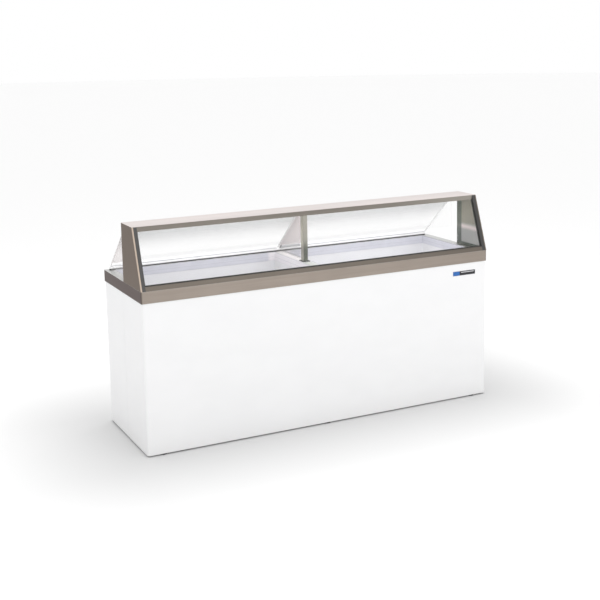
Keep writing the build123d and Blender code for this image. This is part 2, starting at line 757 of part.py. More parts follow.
def centre_post():
    """Square tube from the mullion's foot plate up to the shelf."""
    half = POST_WIDTH / 2
    y = (POST_Y - POST_DEPTH / 2, POST_Y + POST_DEPTH / 2)
    z = (CAP_TOP + FOOT_PLATE, SHELF_UNDER)
    post = block((-half, half), y, z)
    post = fillet(post.edges().filter_by(Axis.Z), POST_CORNER)
    inside = half - POST_WALL
    return post - block((-inside, inside), (y[0] + POST_WALL, y[1] - POST_WALL), z)


def post_foot():
    """Plate under the post."""
    half = CAP_HALF - CAP_EDGE
    y = (POST_Y - FOOT_PLATE_Y, POST_Y + FOOT_PLATE_Y)
    plate = block((-half, half), y, (CAP_TOP, CAP_TOP + FOOT_PLATE))
    return fillet(plate.edges().filter_by(Axis.Z), FOOT_PLATE_CORNER)


# Lids ------------------------------------------------------------------------------------------

def in_lid(piece):
    """Puts a piece drawn flat, with the hinge on the X axis, on the closed lid's slope."""
    return Pos(0, HINGE_Y, HINGE_Z) * Rot(-LID_SLOPE, 0, 0) * piece


def lid_sheet(slack=0.0):
    """Clear sheet from the clamp down into the bar. slack widens it for a groove."""
    x = (LID_INNER_X + TRIM_WIDTH - TRIM_BITE - slack, LID_OUTER_X - TRIM_WIDTH + TRIM_BITE + slack)
    half = LID_GLASS / 2 + slack
    return in_lid(block(x, (LID_START - slack, LID_REACH + BAR_EMBED + slack), (-half, half)))


def lid_cheeks():
    """Clear triangles under the sheet's two side edges, upright when the lid is closed."""
    lean = math.radians(LID_SLOPE)
    start_y = HINGE_Y + CLAMP_END * math.cos(lean) - TRIM_THICK / 2 * math.sin(lean)
    start_z = HINGE_Z - CLAMP_END * math.sin(lean) - TRIM_THICK / 2 * math.cos(lean)
    end_y = BAR_FRONT - CHEEK_GAP
    outline = [
        (start_y, start_z),
        (start_y, CHEEK_BOTTOM),
        (end_y, CHEEK_BOTTOM),
        (end_y, start_z - math.tan(lean) * (end_y - start_y)),
    ]
    inner = (LID_INNER_X + CHEEK_INSET, LID_INNER_X + CHEEK_INSET + CHEEK)
    outer = (LID_OUTER_X - CHEEK_INSET - CHEEK, LID_OUTER_X - CHEEK_INSET)
    return [along_x(outline, x) for x in (inner, outer)]


def lid_hinge_rail():
    """Round barrel with a jaw that clamps the sheet's upper edge."""
    x = (LID_INNER_X + LUG_WIDTH + CLAMP_SIDE_GAP, LID_OUTER_X - LUG_WIDTH - CLAMP_SIDE_GAP)
    half = CLAMP_THICK / 2
    rail = across(BARREL_R, (0, 0), x) + block(x, (0, CLAMP_END), (-half, half))
    rail -= across(ROD_R, (0, 0), x)
    return in_lid(rail) - lid_sheet()


def lid_rod():
    """Hinge rod, from lug to lug."""
    return in_lid(across(ROD_R, (0, 0), (LID_INNER_X, LID_OUTER_X)))


def lid_bar():
    """White bar along the lid's lower edge, with its upper corners cut back at both ends."""
    z = (BAR_BOTTOM, BAR_BOTTOM + BAR_HEIGHT)
    bar = block((LID_INNER_X, LID_OUTER_X), (BAR_FRONT, BAR_REAR), z)
    bar = fillet(bar.edges().filter_by(Axis.X), BAR_EDGE)
    for end, inward in ((LID_INNER_X, 1), (LID_OUTER_X, -1)):
        corner = [(end, z[1] - BEVEL_Z), (end + inward * BEVEL_X, z[1]), (end, z[1])]
        outline = Plane.XZ.offset(-BAR_REAR) * Polygon(*corner, align=None)
        bar -= extrude(outline, amount=BAR_REAR - BAR_FRONT)
    return bar - lid_sheet()


def lid_trims():
    """Channel sections over the sheet's two side edges."""
    half = TRIM_THICK / 2
    y = (CLAMP_END, LID_REACH - TRIM_END_GAP)
    inner = block((LID_INNER_X, LID_INNER_X + TRIM_WIDTH), y, (-half, half))
    outer = block((LID_OUTER_X - TRIM_WIDTH, LID_OUTER_X), y, (-half, half))
    return [in_lid(inner) - lid_sheet(), in_lid(outer) - lid_sheet()]


def hinge_lug(x):
    """Ear on the shelf's rear fascia, with the rod's bore."""
    ear = block(x, (CANOPY_REAR, HINGE_Y), (HINGE_Z - LUG_R, HINGE_Z + LUG_R))
    ear += across(LUG_R, (HINGE_Y, HINGE_Z), x)
    return ear - across(ROD_R + BORE_CLEARANCE, (HINGE_Y, HINGE_Z), x)


def lid_rest():
    """Soft strip on the rear flange under the lid bars."""
    return block((-LID_OUTER_X, LID_OUTER_X), REST_Y, (RIM_TOP, REST_TOP))


# Machine bay -----------------------------------------------------------------------------------

def service_grille():
    """Panel with rows of slots, each under a blade that leans out."""
    z = (OPENING_Z[0] + PANEL_GAP, OPENING_Z[1] - PANEL_GAP)
    panel = block((PANEL_SPLIT + SEAM / 2, OPENING_X[1] - PANEL_GAP), (PLATE_Y, PLATE_FACE), z)
    slots, hoods = [], []
    for row in range(SLOT_COUNT):
        low = FIRST_SLOT + SLOT_PITCH * row - SLOT_HEIGHT / 2
        high = low + SLOT_HEIGHT
        blade = [
            (PLATE_Y, high + SHEET),
            (PLATE_Y, high),
            (PLATE_FACE + HOOD_OUT - SHEET, low),
            (PLATE_FACE + HOOD_OUT, low),
            (PLATE_FACE, high + SHEET),
        ]
        for span in SLOT_SPANS:
            slots.append(block(span, (PLATE_Y, PLATE_FACE), (low, high)))
            hoods.append(along_x(blade, span))
    return (panel - slots).fuse(*hoods)


def control_plate():
    """Flat plate that carries the thermostat, the switch and the cord's inlet."""
    z = (OPENING_Z[0] + PANEL_GAP, OPENING_Z[1] - PANEL_GAP)
    plate = block((OPENING_X[0] + PANEL_GAP, PANEL_SPLIT - SEAM / 2), (PLATE_Y, PLATE_FACE), z)
    y = (PLATE_Y, PLATE_FACE)
    plate -= lying(NECK_R, (CONTROL_X, KNOB_Z), y)
    plate -= lying(GLAND_THREAD_R, (CONTROL_X, GLAND_Z), y)
    half_x, half_z = SWITCH_SIZE[0] / 2 - SWITCH_FACE, SWITCH_SIZE[1] / 2 - SWITCH_FACE
    window = block((CONTROL_X - half_x, CONTROL_X + half_x), y, (SWITCH_Z - half_z, SWITCH_Z + half_z))
    return plate - window


def thermostat():
    """Body behind the plate, with a neck through it for the knob's shaft."""
    width, deep, tall = THERMOSTAT
    body = block((CONTROL_X - width / 2, CONTROL_X + width / 2), (PLATE_Y - deep, PLATE_Y),
                 (KNOB_Z - tall / 2, KNOB_Z + tall / 2))
    body += lying(NECK_R, (CONTROL_X, KNOB_Z), (PLATE_Y, PLATE_FACE))
    return body - lying(SHAFT_R + BORE_CLEARANCE, (CONTROL_X, KNOB_Z), (PLATE_Y - deep / 2, PLATE_FACE))


def thermostat_knob():
    """Fluted knob with a pointer ridge, and its shaft."""
    start = PLATE_FACE + KNOB_GAP
    knob = lying(KNOB_R, (CONTROL_X, KNOB_Z), (start, start + KNOB_HEIGHT))
    knob = fillet(knob.edges().group_by(Axis.Y)[-1], KNOB_EDGE)
    for flute in range(FLUTES):
        angle = 2 * math.pi * (flute + 0.5) / FLUTES
        at = (CONTROL_X + FLUTE_CIRCLE * math.cos(angle), KNOB_Z + FLUTE_CIRCLE * math.sin(angle))
        knob -= lying(FLUTE_R, at, (start, start + KNOB_HEIGHT))
    ridge = block((CONTROL_X - POINTER / 2, CONTROL_X + POINTER / 2),
                  (start + KNOB_HEIGHT - KNOB_EDGE, start + KNOB_HEIGHT + POINTER / 2),
                  (KNOB_Z, KNOB_Z + KNOB_R - KNOB_EDGE))
    shaft_end = PLATE_Y - THERMOSTAT[1] / 2 + SHAFT_END_GAP
    shaft = lying(SHAFT_R, (CONTROL_X, KNOB_Z), (shaft_end, start))
    return knob + ridge + shaft


def switch_housing():
    """Frame in the plate, closed behind, that the rocker tilts in."""
    half_x, half_z = SWITCH_SIZE[0] / 2, SWITCH_SIZE[1] / 2
    face = block((CONTROL_X - half_x, CONTROL_X + half_x), (PLATE_FACE, PLATE_FACE + SWITCH_FACE),
                 (SWITCH_Z - half_z, SWITCH_Z + half_z))
    body_x, body_z = half_x - SWITCH_FACE, half_z - SWITCH_FACE
    face += block((CONTROL_X - body_x, CONTROL_X + body_x), (PLATE_FACE - SWITCH_BODY, PLATE_FACE),
                  (SWITCH_Z - body_z, SWITCH_Z + body_z))
    well_x, well_z = ROCKER_SIZE[0] / 2 + ROCKER_GAP, ROCKER_SIZE[1] / 2 + ROCKER_GAP
    return face - block((CONTROL_X - well_x, CONTROL_X + well_x),
                        (ROCKER_AXIS_Y - ROCKER_ROOM, PLATE_FACE + SWITCH_FACE),
                        (SWITCH_Z - well_z, SWITCH_Z + well_z))


def switch_rocker():
    """Rocker with a shallow hollow face, tilted towards off at rest."""
    half_z = ROCKER_SIZE[1] / 2
    x = (CONTROL_X - ROCKER_SIZE[0] / 2, CONTROL_X + ROCKER_SIZE[0] / 2)
    outline = [
        (-ROCKER_BACK, 0),
        (0, -half_z + ROCKER_SIDE),
        (ROCKER_FRONT, -half_z + ROCKER_SIDE),
        (ROCKER_FRONT - ROCKER_DISH, 0),
        (ROCKER_FRONT, half_z - ROCKER_SIDE),
        (0, half_z - ROCKER_SIDE),
    ]
    rocker = Rot(-ROCKER_TILT, 0, 0) * along_x(outline, x)
    return Pos(0, ROCKER_AXIS_Y, SWITCH_Z) * rocker


def cord_gland():
    """Hexagonal gland for the supply cord: thread through the plate, nut inside, dome outside."""
    at = (CONTROL_X, GLAND_Z)
    turn = Pos(CONTROL_X, PLATE_FACE, GLAND_Z) * Rot(-90, 0, 0)
    gland = turn * extrude(RegularPolygon(GLAND_HEX / 2, 6, major_radius=False), amount=GLAND_HEX_DEEP)
    gland += lying(GLAND_DOME_R, at, (PLATE_FACE + GLAND_HEX_DEEP, PLATE_FACE + GLAND_OUT))
    gland = fillet(gland.edges().group_by(Axis.Y)[-1], GLAND_EDGE)
    gland += lying(GLAND_THREAD_R, at, (PLATE_Y - GLAND_IN, PLATE_FACE))
    nut = Pos(CONTROL_X, PLATE_Y, GLAND_Z) * Rot(90, 0, 0)
    gland += nut * extrude(RegularPolygon(GLAND_HEX / 2, 6, major_radius=False), amount=GLAND_NUT)
    return gland - lying(GLAND_BORE_R, at, (PLATE_Y - GLAND_IN, PLATE_FACE + GLAND_OUT))


def unit_tray():
    """Tray that carries the condensing unit, with its front and rear edges turned up."""
    tray = block(TRAY_X, TRAY_Y, (PAN_TOP, TRAY_TOP))
    for y in ((TRAY_Y[0], TRAY_Y[0] + TRAY), (TRAY_Y[1] - TRAY, TRAY_Y[1])):
        tray += block(TRAY_X, y, (TRAY_TOP, TRAY_TOP + TRAY_LIP))
    return tray


def compressor_grommets():
    """Four rubber feet."""
    reach = COMP_BASE / 2 - GROMMET_INSET
    z = (TRAY_TOP, TRAY_TOP + COMP_FEET)
    places = [(COMP_X + i * reach, COMP_Y + j * reach) for i in (-1, 1) for j in (-1, 1)]
    return [upright(GROMMET_R, at, z) for at in places]


def compressor():
    """Domed shell on a square plate, with a terminal box and two pipe stubs."""
    base = TRAY_TOP + COMP_FEET
    shell_z = (base + COMP_PLATE, base + COMP_PLATE + COMP_HEIGHT)
    shell = upright(COMP_R, (COMP_X, COMP_Y), shell_z)
    shell = fillet(shell.edges().group_by(Axis.Z)[-1], COMP_DOME)
    half = COMP_BASE / 2
    plate = block((COMP_X - half, COMP_X + half), (COMP_Y - half, COMP_Y + half), (base, shell_z[0]))
    plate = fillet(plate.edges().filter_by(Axis.Z), GROMMET_INSET)
    box_y = (COMP_Y - COMP_R - TERMINAL[1] / 2, COMP_Y - COMP_R + TERMINAL[1])
    box = block((COMP_X - TERMINAL[0] / 2, COMP_X + TERMINAL[0] / 2), box_y,
                (shell_z[0] + TERMINAL[2], shell_z[0] + 2 * TERMINAL[2]))
    discharge = across(STUB_R, (COMP_Y, DISCHARGE_Z), (COMP_X, COMP_X + COMP_R + STUB))
    suction = upright(STUB_R, (COMP_X, COMP_Y), (shell_z[1] - STUB, shell_z[1] + STUB))
    return shell + plate + box + discharge + suction


def condenser():
    """Finned block between two end plates, with return bends and two stubs at its ends."""
    core = block(COND_X, COND_Y, COND_Z)
    core += block((COND_X[0] - COND_END, COND_X[0]), COND_Y, COND_Z)
    core += block((COND_X[1], COND_X[1] + COND_END), COND_Y, COND_Z)
    pitch = (COND_Z[1] - COND_Z[0]) / (2 * BEND_ROWS + 1)
    for row in range(BEND_ROWS):
        left_z = COND_Z[0] + pitch * (2 * row + 1)
        core += return_bend((COND_X[0] - COND_END, COND_MID_Y, left_z), -1)
        if row:
            core += return_bend((COND_X[1] + COND_END, COND_MID_Y, left_z - pitch), 1)
    for z in condenser_stubs():
        core += across(COND_TUBE_R, (COND_MID_Y, z), (COND_X[1] + COND_END, COND_STUB_X))
    return core


def condenser_stubs():
    """Heights of the condenser's outlet and inlet."""
    return COND_Z[0] + COND_INSET, COND_Z[1] - COND_INSET


def return_bend(at, side):
    """Half ring that joins two rows of tube outside an end plate."""
    ring = Rot(90, 0, 0) * Torus(BEND_R, COND_TUBE_R)
    half = block(sorted((0, side * 2 * BEND_R)), (-BEND_R, BEND_R), (-2 * BEND_R, 2 * BEND_R))
    return Pos(*at) * (ring & half)


def fan_shroud():
    """Plate in front of the condenser with the fan's round mouth, and the motor's strap across it."""
    y = (SHROUD_Y - SHEET, SHROUD_Y)
    shroud = block((COND_X[0] - COND_END, COND_X[1] + COND_END), y, COND_Z)
    shroud += lying(SHROUD_HOLE_R + SHEET, (FAN_X, FAN_Z), (y[0] - SHROUD_COLLAR, y[1]))
    shroud -= lying(SHROUD_HOLE_R, (FAN_X, FAN_Z), (y[0] - SHROUD_COLLAR, y[1]))
    return shroud + fan_bracket()


def fan_bracket():
    """Bent strap that reaches round the front of the fan to carry the motor."""
    x = (FAN_X - BRACKET_HALF, FAN_X + BRACKET_HALF)
    z = (FAN_Z - BRACKET_HEIGHT / 2, FAN_Z + BRACKET_HEIGHT / 2)
    strap = block(x, (MOTOR_Y[1], MOTOR_Y[1] + BRACKET), z)
    for edge in (x[0], x[1] - BRACKET):
        strap += block((edge, edge + BRACKET), (MOTOR_Y[1], SHROUD_Y - SHEET), z)
    return strap - lying(FAN_SHAFT_R + SHAFT_ROOM, (FAN_X, FAN_Z), (MOTOR_Y[1], MOTOR_Y[1] + BRACKET))


def fan_motor():
    """Round motor with a bore for the fan's shaft."""
    motor = lying(MOTOR_R, (FAN_X, FAN_Z), MOTOR_Y)
    motor = fillet(motor.edges().group_by(Axis.Y)[0], MOTOR_EDGE)
    bore_y = (MOTOR_Y[1] - MOTOR_BORE, MOTOR_Y[1])
    return motor - lying(FAN_SHAFT_R + BORE_CLEARANCE, (FAN_X, FAN_Z), bore_y)


def fan_blade():
    """Hub with pitched blades, and its shaft."""
    place = Pos(FAN_X, FAN_Y, FAN_Z)
    fan = lying(FAN_HUB_R, (0, 0), (-FAN_HUB / 2, FAN_HUB / 2))
    fan = fillet(fan.edges().group_by(Axis.Y)[-1], FAN_HUB_EDGE)
    root, tip = FAN_HUB_R - BLADE_ROOT, FAN_R
    for blade in range(FAN_BLADES):
        flat = Box(tip - root, BLADE_THICK, BLADE_CHORD)
        flat = fillet(flat.edges().filter_by(Axis.Y).group_by(Axis.X)[-1], BLADE_CORNER)
        pitched = Pos((root + tip) / 2, 0, 0) * Rot(FAN_PITCH, 0, 0) * flat
        fan += Rot(0, 360 / FAN_BLADES * blade, 0) * pitched
    shaft_end = MOTOR_Y[1] - MOTOR_BORE + SHAFT_END_GAP
    return place * fan + lying(FAN_SHAFT_R, (FAN_X, FAN_Z), (shaft_end, FAN_Y - FAN_HUB / 2))


def filter_drier():
    """Capsule in the liquid line."""
    at = (DRIER_Y, DRIER_Z)
    body = across(DRIER_R, at, (DRIER_X[0] + DRIER_STUB, DRIER_X[1] - DRIER_STUB))
    return fillet(body.edges(), DRIER_EDGE) + across(DRIER_STUB_R, at, DRIER_X)


def refrigerant_lines():
    """Runs of copper tube between the compressor, condenser, drier and evaporator."""
    outlet_z, inlet_z = condenser_stubs()
    discharge = [
        (COMP_X + COMP_R + STUB, COMP_Y, DISCHARGE_Z),
        (LINE_END_X, COMP_Y, DISCHARGE_Z),
        (LINE_END_X, COMP_Y, inlet_z),
        (LINE_END_X, COND_MID_Y, inlet_z),
        (COND_STUB_X, COND_MID_Y, inlet_z),
    ]
    liquid = [
        (COND_STUB_X, COND_MID_Y, outlet_z),
        (LINE_END_X, COND_MID_Y, outlet_z),
        (LINE_END_X, DRIER_Y, outlet_z),
        (DRIER_X[1], DRIER_Y, DRIER_Z),
    ]
    feed = [
        (DRIER_X[0], DRIER_Y, DRIER_Z),
        (FEED_X, DRIER_Y, DRIER_Z),
        (FEED_X, DRIER_Y, INLET[2]),
        (FEED_X, INLET[1], INLET[2]),
        INLET,
    ]
    suction = [
        (OUTLET_X, OUTLET_Y, OUTLET_Z),
        (OUTLET_X, OUTLET_Y, SUCTION_Z),
        (OUTLET_X, COMP_Y, SUCTION_Z),
        (COMP_X, COMP_Y, TRAY_TOP + COMP_FEET + COMP_PLATE + COMP_HEIGHT + STUB),
    ]
    return {
        "discharge_line": tube(discharge, LINE_BEND, LINE_R),
        "liquid_lines": [tube(liquid, LINE_BEND, LINE_R), tube(feed, FEED_BEND, FEED_R)],
        "suction_line": tube(suction, LINE_BEND, SUCTION_R),
    }


# Trim ------------------------------------------------------------------------------------------

def name_plate():
    """Blank plate on the front."""
    outline = RectangleRounded(PLATE_X[1] - PLATE_X[0], PLATE_HEIGHT, PLATE_CORNER)
    centre = Pos((PLATE_X[0] + PLATE_X[1]) / 2, -CASE_Y, PLATE_TOP - PLATE_HEIGHT / 2)
    return centre * Rot(90, 0, 0) * extrude(outline, amount=SHEET)


def screw(at, turn):
    """Pan head with a cross slot, standing on a surface. turn points it away from the surface."""
    head = Pos(0, 0, SCREW_HEAD / 2) * Cylinder(SCREW_R, SCREW_HEAD)
    head = fillet(head.edges().group_by(Axis.Z)[-1], SCREW_EDGE)
    for size in ((SCREW_CROSS, SCREW_SLOT), (SCREW_SLOT, SCREW_CROSS)):
        head -= Pos(0, 0, SCREW_HEAD) * Box(size[0], size[1], 2 * SCREW_SLOT_DEEP)
    return Pos(*at) * turn * head


def screws():
    """Every visible screw: guard ends, post foot, mullion cap, grille and control plate."""
    up, rearward = Rot(0, 0, 0), Rot(-90, 0, 0)
    heads = []
    for side, inward in ((-1, Rot(0, 90, 0)), (1, Rot(0, -90, 0))):
        for z in GUARD_SCREW_Z:
            heads.append(screw((side * GUARD_INNER, CANOPY_REAR - GUARD_SCREW_INSET, z), inward))
    foot_top = CAP_TOP + FOOT_PLATE
    for y in (POST_Y - FOOT_SCREW_Y, POST_Y + FOOT_SCREW_Y):
        heads.append(screw((0, y, foot_top), up))
    for y in (-WELL_Y + CAP_SCREW_INSET, WELL_Y - CAP_SCREW_INSET):
        heads.append(screw((0, y, CAP_TOP), up))
    low, high = OPENING_Z[0] + PANEL_SCREW_INSET, OPENING_Z[1] - PANEL_SCREW_INSET
    for x in PANEL_SCREW_X:
        for z in (low, high):
            heads.append(screw((x, PLATE_FACE, z), rearward))
    return heads


def pair(piece):
    """A piece drawn at the right, and its mirror image at the left."""
    return [piece, mirrored(piece)]


def both_sides(name, pieces):
    """Two nodes: right_name holds the pieces as drawn, and left_name their mirror images."""
    return {"right_" + name: pieces, "left_" + name: [mirrored(piece) for piece in pieces]}


nodes = {
    "base_frame": [base_rail(-1), base_rail(1)] + [crossmember(x) for x in CROSS_X],
    "base_pan": base_pan(),
    "levelling_feet": [levelling_foot(x, side * FOOT_Y) for x in FOOT_X for side in (-1, 1)],
    "front_case": case_half(-1),
    "rear_case": rear_case(),
    "seam_battens": [seam_batten(-1), seam_batten(1)],
    "insulation": insulation(),
    "tank_liner": tank_liner(),
    "evaporator_coil": evaporator_coil(),
    "well_collars": pair(well_collar()),
    "mullion": mullion(),
    "mullion_cap": mullion_cap(),
    "rim_sides": rim()[0::2],
    "rim_ends": rim()[1::2],
    "can_racks": [wire for span in RACK_SPANS for wire in can_rack(span)],
    "rack_ledges": [rack_ledge(-1), rack_ledge(1)],
    "drain_fitting": drain_fitting(),
    "drain_plug": drain_plug(),
    "guard_ends": pair(guard_end()),
    "guard_linings": pair(guard_lining()),
    "glass_side_rails": pair(glass_side_rail()),
    "glass_bottom_rail": glass_bottom_rail(),
    "glass_top_rail": glass_top_rail(),
    "glass_gasket": glass_gasket(),
    "front_glass": front_glass(),
    "canopy_shelf": canopy_shelf(),
    "centre_post": centre_post(),
    "post_foot": post_foot(),
    **both_sides("lid_sheet", [lid_sheet(), *lid_cheeks()]),
    **both_sides("lid_hinge_rail", [lid_hinge_rail()]),
    **both_sides("lid_rod", [lid_rod()]),
    **both_sides("lid_bar", [lid_bar()]),
    **both_sides("lid_trims", lid_trims()),
    "hinge_lugs": [hinge_lug(x) for x in LUG_SPANS],
    "lid_rest": lid_rest(),
    "service_grille": service_grille(),
    "control_plate": control_plate(),
    "thermostat": thermostat(),
    "thermostat_knob": thermostat_knob(),
    "switch_housing": switch_housing(),
    "switch_rocker": switch_rocker(),
    "cord_gland": cord_gland(),
    "unit_tray": unit_tray(),
    "compressor_grommets": compressor_grommets(),
    "compressor": compressor(),
    "condenser": condenser(),
    "fan_shroud": fan_shroud(),
    "fan_motor": fan_motor(),
    "fan_blade": fan_blade(),
    "filter_drier": filter_drier(),
    **refrigerant_lines(),
    "name_plate": name_plate(),
    "screws": screws(),
}

os.makedirs("parts", exist_ok=True)
for node, pieces in nodes.items():
    shapes = pieces if isinstance(pieces, list) else [pieces]
    solids = [solid for shape in shapes for solid in shape.solids()]
    export_step(solids[0] if len(solids) == 1 else Compound(children=solids), f"parts/{node}.step")
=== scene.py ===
import math

import bpy
import numpy as np
from mathutils import Matrix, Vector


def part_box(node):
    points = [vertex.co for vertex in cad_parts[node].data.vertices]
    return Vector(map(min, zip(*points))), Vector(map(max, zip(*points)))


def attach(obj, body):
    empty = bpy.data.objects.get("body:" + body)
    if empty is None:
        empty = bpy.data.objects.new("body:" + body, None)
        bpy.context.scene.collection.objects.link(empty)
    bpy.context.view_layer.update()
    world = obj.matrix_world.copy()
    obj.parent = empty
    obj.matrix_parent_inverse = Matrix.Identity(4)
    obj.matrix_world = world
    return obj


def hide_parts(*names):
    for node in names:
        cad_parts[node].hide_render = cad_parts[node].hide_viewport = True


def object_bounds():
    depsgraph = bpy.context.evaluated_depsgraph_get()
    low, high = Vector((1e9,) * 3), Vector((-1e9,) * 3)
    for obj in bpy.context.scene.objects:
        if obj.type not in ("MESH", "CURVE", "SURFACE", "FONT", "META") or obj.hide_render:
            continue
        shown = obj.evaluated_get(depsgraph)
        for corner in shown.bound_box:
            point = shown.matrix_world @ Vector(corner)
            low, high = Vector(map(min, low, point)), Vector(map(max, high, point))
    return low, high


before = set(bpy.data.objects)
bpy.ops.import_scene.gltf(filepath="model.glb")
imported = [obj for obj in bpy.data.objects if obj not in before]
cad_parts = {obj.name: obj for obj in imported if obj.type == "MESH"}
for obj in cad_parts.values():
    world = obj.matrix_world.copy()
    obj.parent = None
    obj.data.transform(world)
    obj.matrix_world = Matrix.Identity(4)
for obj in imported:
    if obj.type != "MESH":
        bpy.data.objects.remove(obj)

bl_info = {
    "name": "Dipping Cabinet",
    "version": (1, 0, 0),
    "blender": (4, 5, 0),
    "location": "3D View > Sidebar > Cabinet",
    "description": "Finishes, trim and studio for a long ice cream dipping cabinet",
    "category": "Object",
}

CAD_BOX = [list(corner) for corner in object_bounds()]

COPPER = (0.72, 0.42, 0.28)
ZINC = (0.60, 0.61, 0.60)
BLACK_PLASTIC = (0.03, 0.03, 0.03)


# Shader maths ----------------------------------------------------------------------------------

class Wire:
    """One output in a finish's node tree. Arithmetic on wires adds the Math nodes."""

    def __init__(self, finish, socket):
        self.finish = finish
        self.socket = socket

    def maths(self, operation, *values):
        """Adds one Math node, whose sockets take the values in order."""
        return self.finish.node("Math", {"operation": operation}, dict(enumerate(values)))

    def __add__(self, other):
        return self.maths("ADD", self, other)

    def __radd__(self, other):
        return self.maths("ADD", other, self)

    def __sub__(self, other):
        return self.maths("SUBTRACT", self, other)

    def __rsub__(self, other):
        return self.maths("SUBTRACT", other, self)

    def __mul__(self, other):
        return self.maths("MULTIPLY", self, other)

    def __rmul__(self, other):
        return self.maths("MULTIPLY", other, self)

    def __pow__(self, other):
        return self.maths("POWER", self, other)

    def __abs__(self):
        return self.maths("ABSOLUTE", self)

    def limit(self, operation, value):
        """The smaller or larger of the wire and a value: operation is MINIMUM or MAXIMUM."""
        return self.maths(operation, self, value)

    def rise(self, low, high):
        """0 below low, 1 above high, and a smooth step between."""
        settings = {"interpolation_type": "SMOOTHSTEP", "clamp": True}
        return self.finish.node("MapRange", settings, {0: self, 1: low, 2: high, 3: 0.0, 4: 1.0})


class Finish:
    """One material: a Principled shader, and one method that adds any other node."""

    def __init__(self, name, colour, **shader):
        self.material = bpy.data.materials.new(name)
        self.material.use_nodes = True
        self.tree = self.material.node_tree
        self.tree.nodes.clear()
        self.output = self.tree.nodes.new("ShaderNodeOutputMaterial")
        self.shader = self.tree.nodes.new("ShaderNodeBsdfPrincipled")
        self.tree.links.new(self.shader.outputs[0], self.output.inputs["Surface"])
        self.place = self.node("TexCoord", output="Object")
        self.x, self.y, self.z = (
            self.node("SeparateXYZ", values={0: self.place}, output=axis) for axis in "XYZ"
        )
        self.set(Base_Color=colour, **shader)

    def feed(self, node, values):
        """Links a wire, or sets a number or colour, on each named or numbered socket."""
        for key, value in values.items():
            socket = node.inputs[key]
            if isinstance(value, Wire):
                self.tree.links.new(value.socket, socket)
            elif socket.type == "RGBA":
                socket.default_value = (*value[:3], 1.0)
            else:
                socket.default_value = value

    def set(self, **values):
        """Feeds the shader's sockets, whose names are given with underscores for spaces."""
        self.feed(self.shader, {key.replace("_", " "): value for key, value in values.items()})
        return self

    def node(self, kind, settings=None, values=None, output=0):
        """Adds a node of a type, its settings first and then its sockets. Returns one output."""
        made = self.tree.nodes.new("ShaderNode" + kind)
        for key, value in (settings or {}).items():
            setattr(made, key, value)
        self.feed(made, values or {})
        return Wire(self, made.outputs[output])

    def colour(self):
        """The wire that feeds the base colour so far."""
        return Wire(self, self.shader.inputs["Base Color"].links[0].from_socket)

    def noise(self, scale, detail=3.0, rough=0.5):
        """Noise whose number of features to the metre is given along each axis."""
        at = self.node("Mapping", values={0: self.place, 3: scale})
        values = {"Vector": at, "Scale": 1.0, "Detail": detail, "Roughness": rough}
        return self.node("TexNoise", values=values)

    def cells(self, scale, output):
        """Distance or Color of a pattern of cells, so many to the metre."""
        at = self.node("Mapping", values={0: self.place, 3: (scale, scale, scale)})
        values = {"Vector": at, "Scale": 1.0}
        return self.node("TexVoronoi", {"feature": "F1"}, values, output=output)

    def blend(self, share, first, second):
        """Colour between two, by a wire from 0 to 1."""
        return self.node("Mix", {"data_type": "RGBA"}, {0: share, 6: first, 7: second}, output=2)

    def tint(self, share, colour, reach):
        """The colour made darker and lighter by reach, as share runs from 0 to 1."""
        dark = [c * (1 - reach) for c in colour]
        light = [min(c * (1 + reach), 1.0) for c in colour]
        return self.blend(share, dark, light)

    def bump(self, height, distance, strength=1.0, over=None):
        """Feeds the shader's normal from a height, over an earlier bump if one is given."""
        values = {"Strength": strength, "Distance": distance, "Height": height}
        if over:
            values["Normal"] = over
        normal = self.node("Bump", values=values)
        self.set(Normal=normal)
        return normal


def within(value, low, high, soft=0.0002):
    """1 where the wire lies between low and high."""
    return value.rise(low - soft, low + soft) * (1 - value.rise(high - soft, high + soft))


# Finishes --------------------------------------------------------------------------------------

def brushed_steel(name, colour, grain, roughness=0.32, smear=0.10):
    """Sheet steel brushed along one axis: long fine scratches, broad soft smears, faint spots."""
    finish = Finish(name, colour, Metallic=1.0)
    fine = [900.0, 900.0, 900.0]
    fine[grain] = 9.0
    broad = [70.0, 70.0, 70.0]
    broad[grain] = 1.6
    scratch = finish.noise(fine, detail=4.0, rough=0.7)
    band = finish.noise(broad, detail=2.0)
    patch = finish.noise((2.6, 2.6, 2.6), detail=3.0)
    shade = scratch * 0.35 + band * 0.25 + patch * 0.40
    finish.set(
        Base_Color=finish.tint(shade.rise(0.3, 0.7), colour, smear),
        Roughness=roughness - 0.06 + scratch * 0.08 + patch * 0.06,
        Anisotropic=0.45,
    )
    finish.bump(scratch, 0.00004, 0.5)
    return finish


def powder_coat(name, colour, roughness=0.36):
    """Baked paint on sheet: a fine orange peel, soft waves of the sheet, scuffs and a slight
    darkening near the floor.
    """
    finish = Finish(name, colour, Specular_IOR_Level=0.45, Coat_Roughness=0.2)
    peel = finish.noise((420.0, 420.0, 420.0), detail=2.0)
    wave = finish.noise((1.7, 1.7, 2.3), detail=1.0)
    cloud = finish.noise((5.0, 5.0, 9.0), detail=4.0)
    near_floor = 1 - finish.z.rise(0.010, 0.130)
    scuff = finish.noise((26.0, 26.0, 60.0), detail=5.0, rough=0.7).rise(0.60, 0.74) * near_floor
    clean = finish.tint(cloud.rise(0.3, 0.7), colour, 0.008)
    # Darker paint in the scuffs, and slightly darker towards the floor.
    darker_paint = [c * f for c, f in zip(colour, (0.90, 0.895, 0.88))]
    finish.set(
        Base_Color=finish.blend(scuff * 0.5 + near_floor * 0.22, clean, darker_paint),
        Roughness=roughness + cloud * 0.08 + scuff * 0.15,
    )
    first = finish.bump(wave, 0.0006, 0.25)
    finish.bump(peel, 0.00003, 0.4, over=first)
    return finish


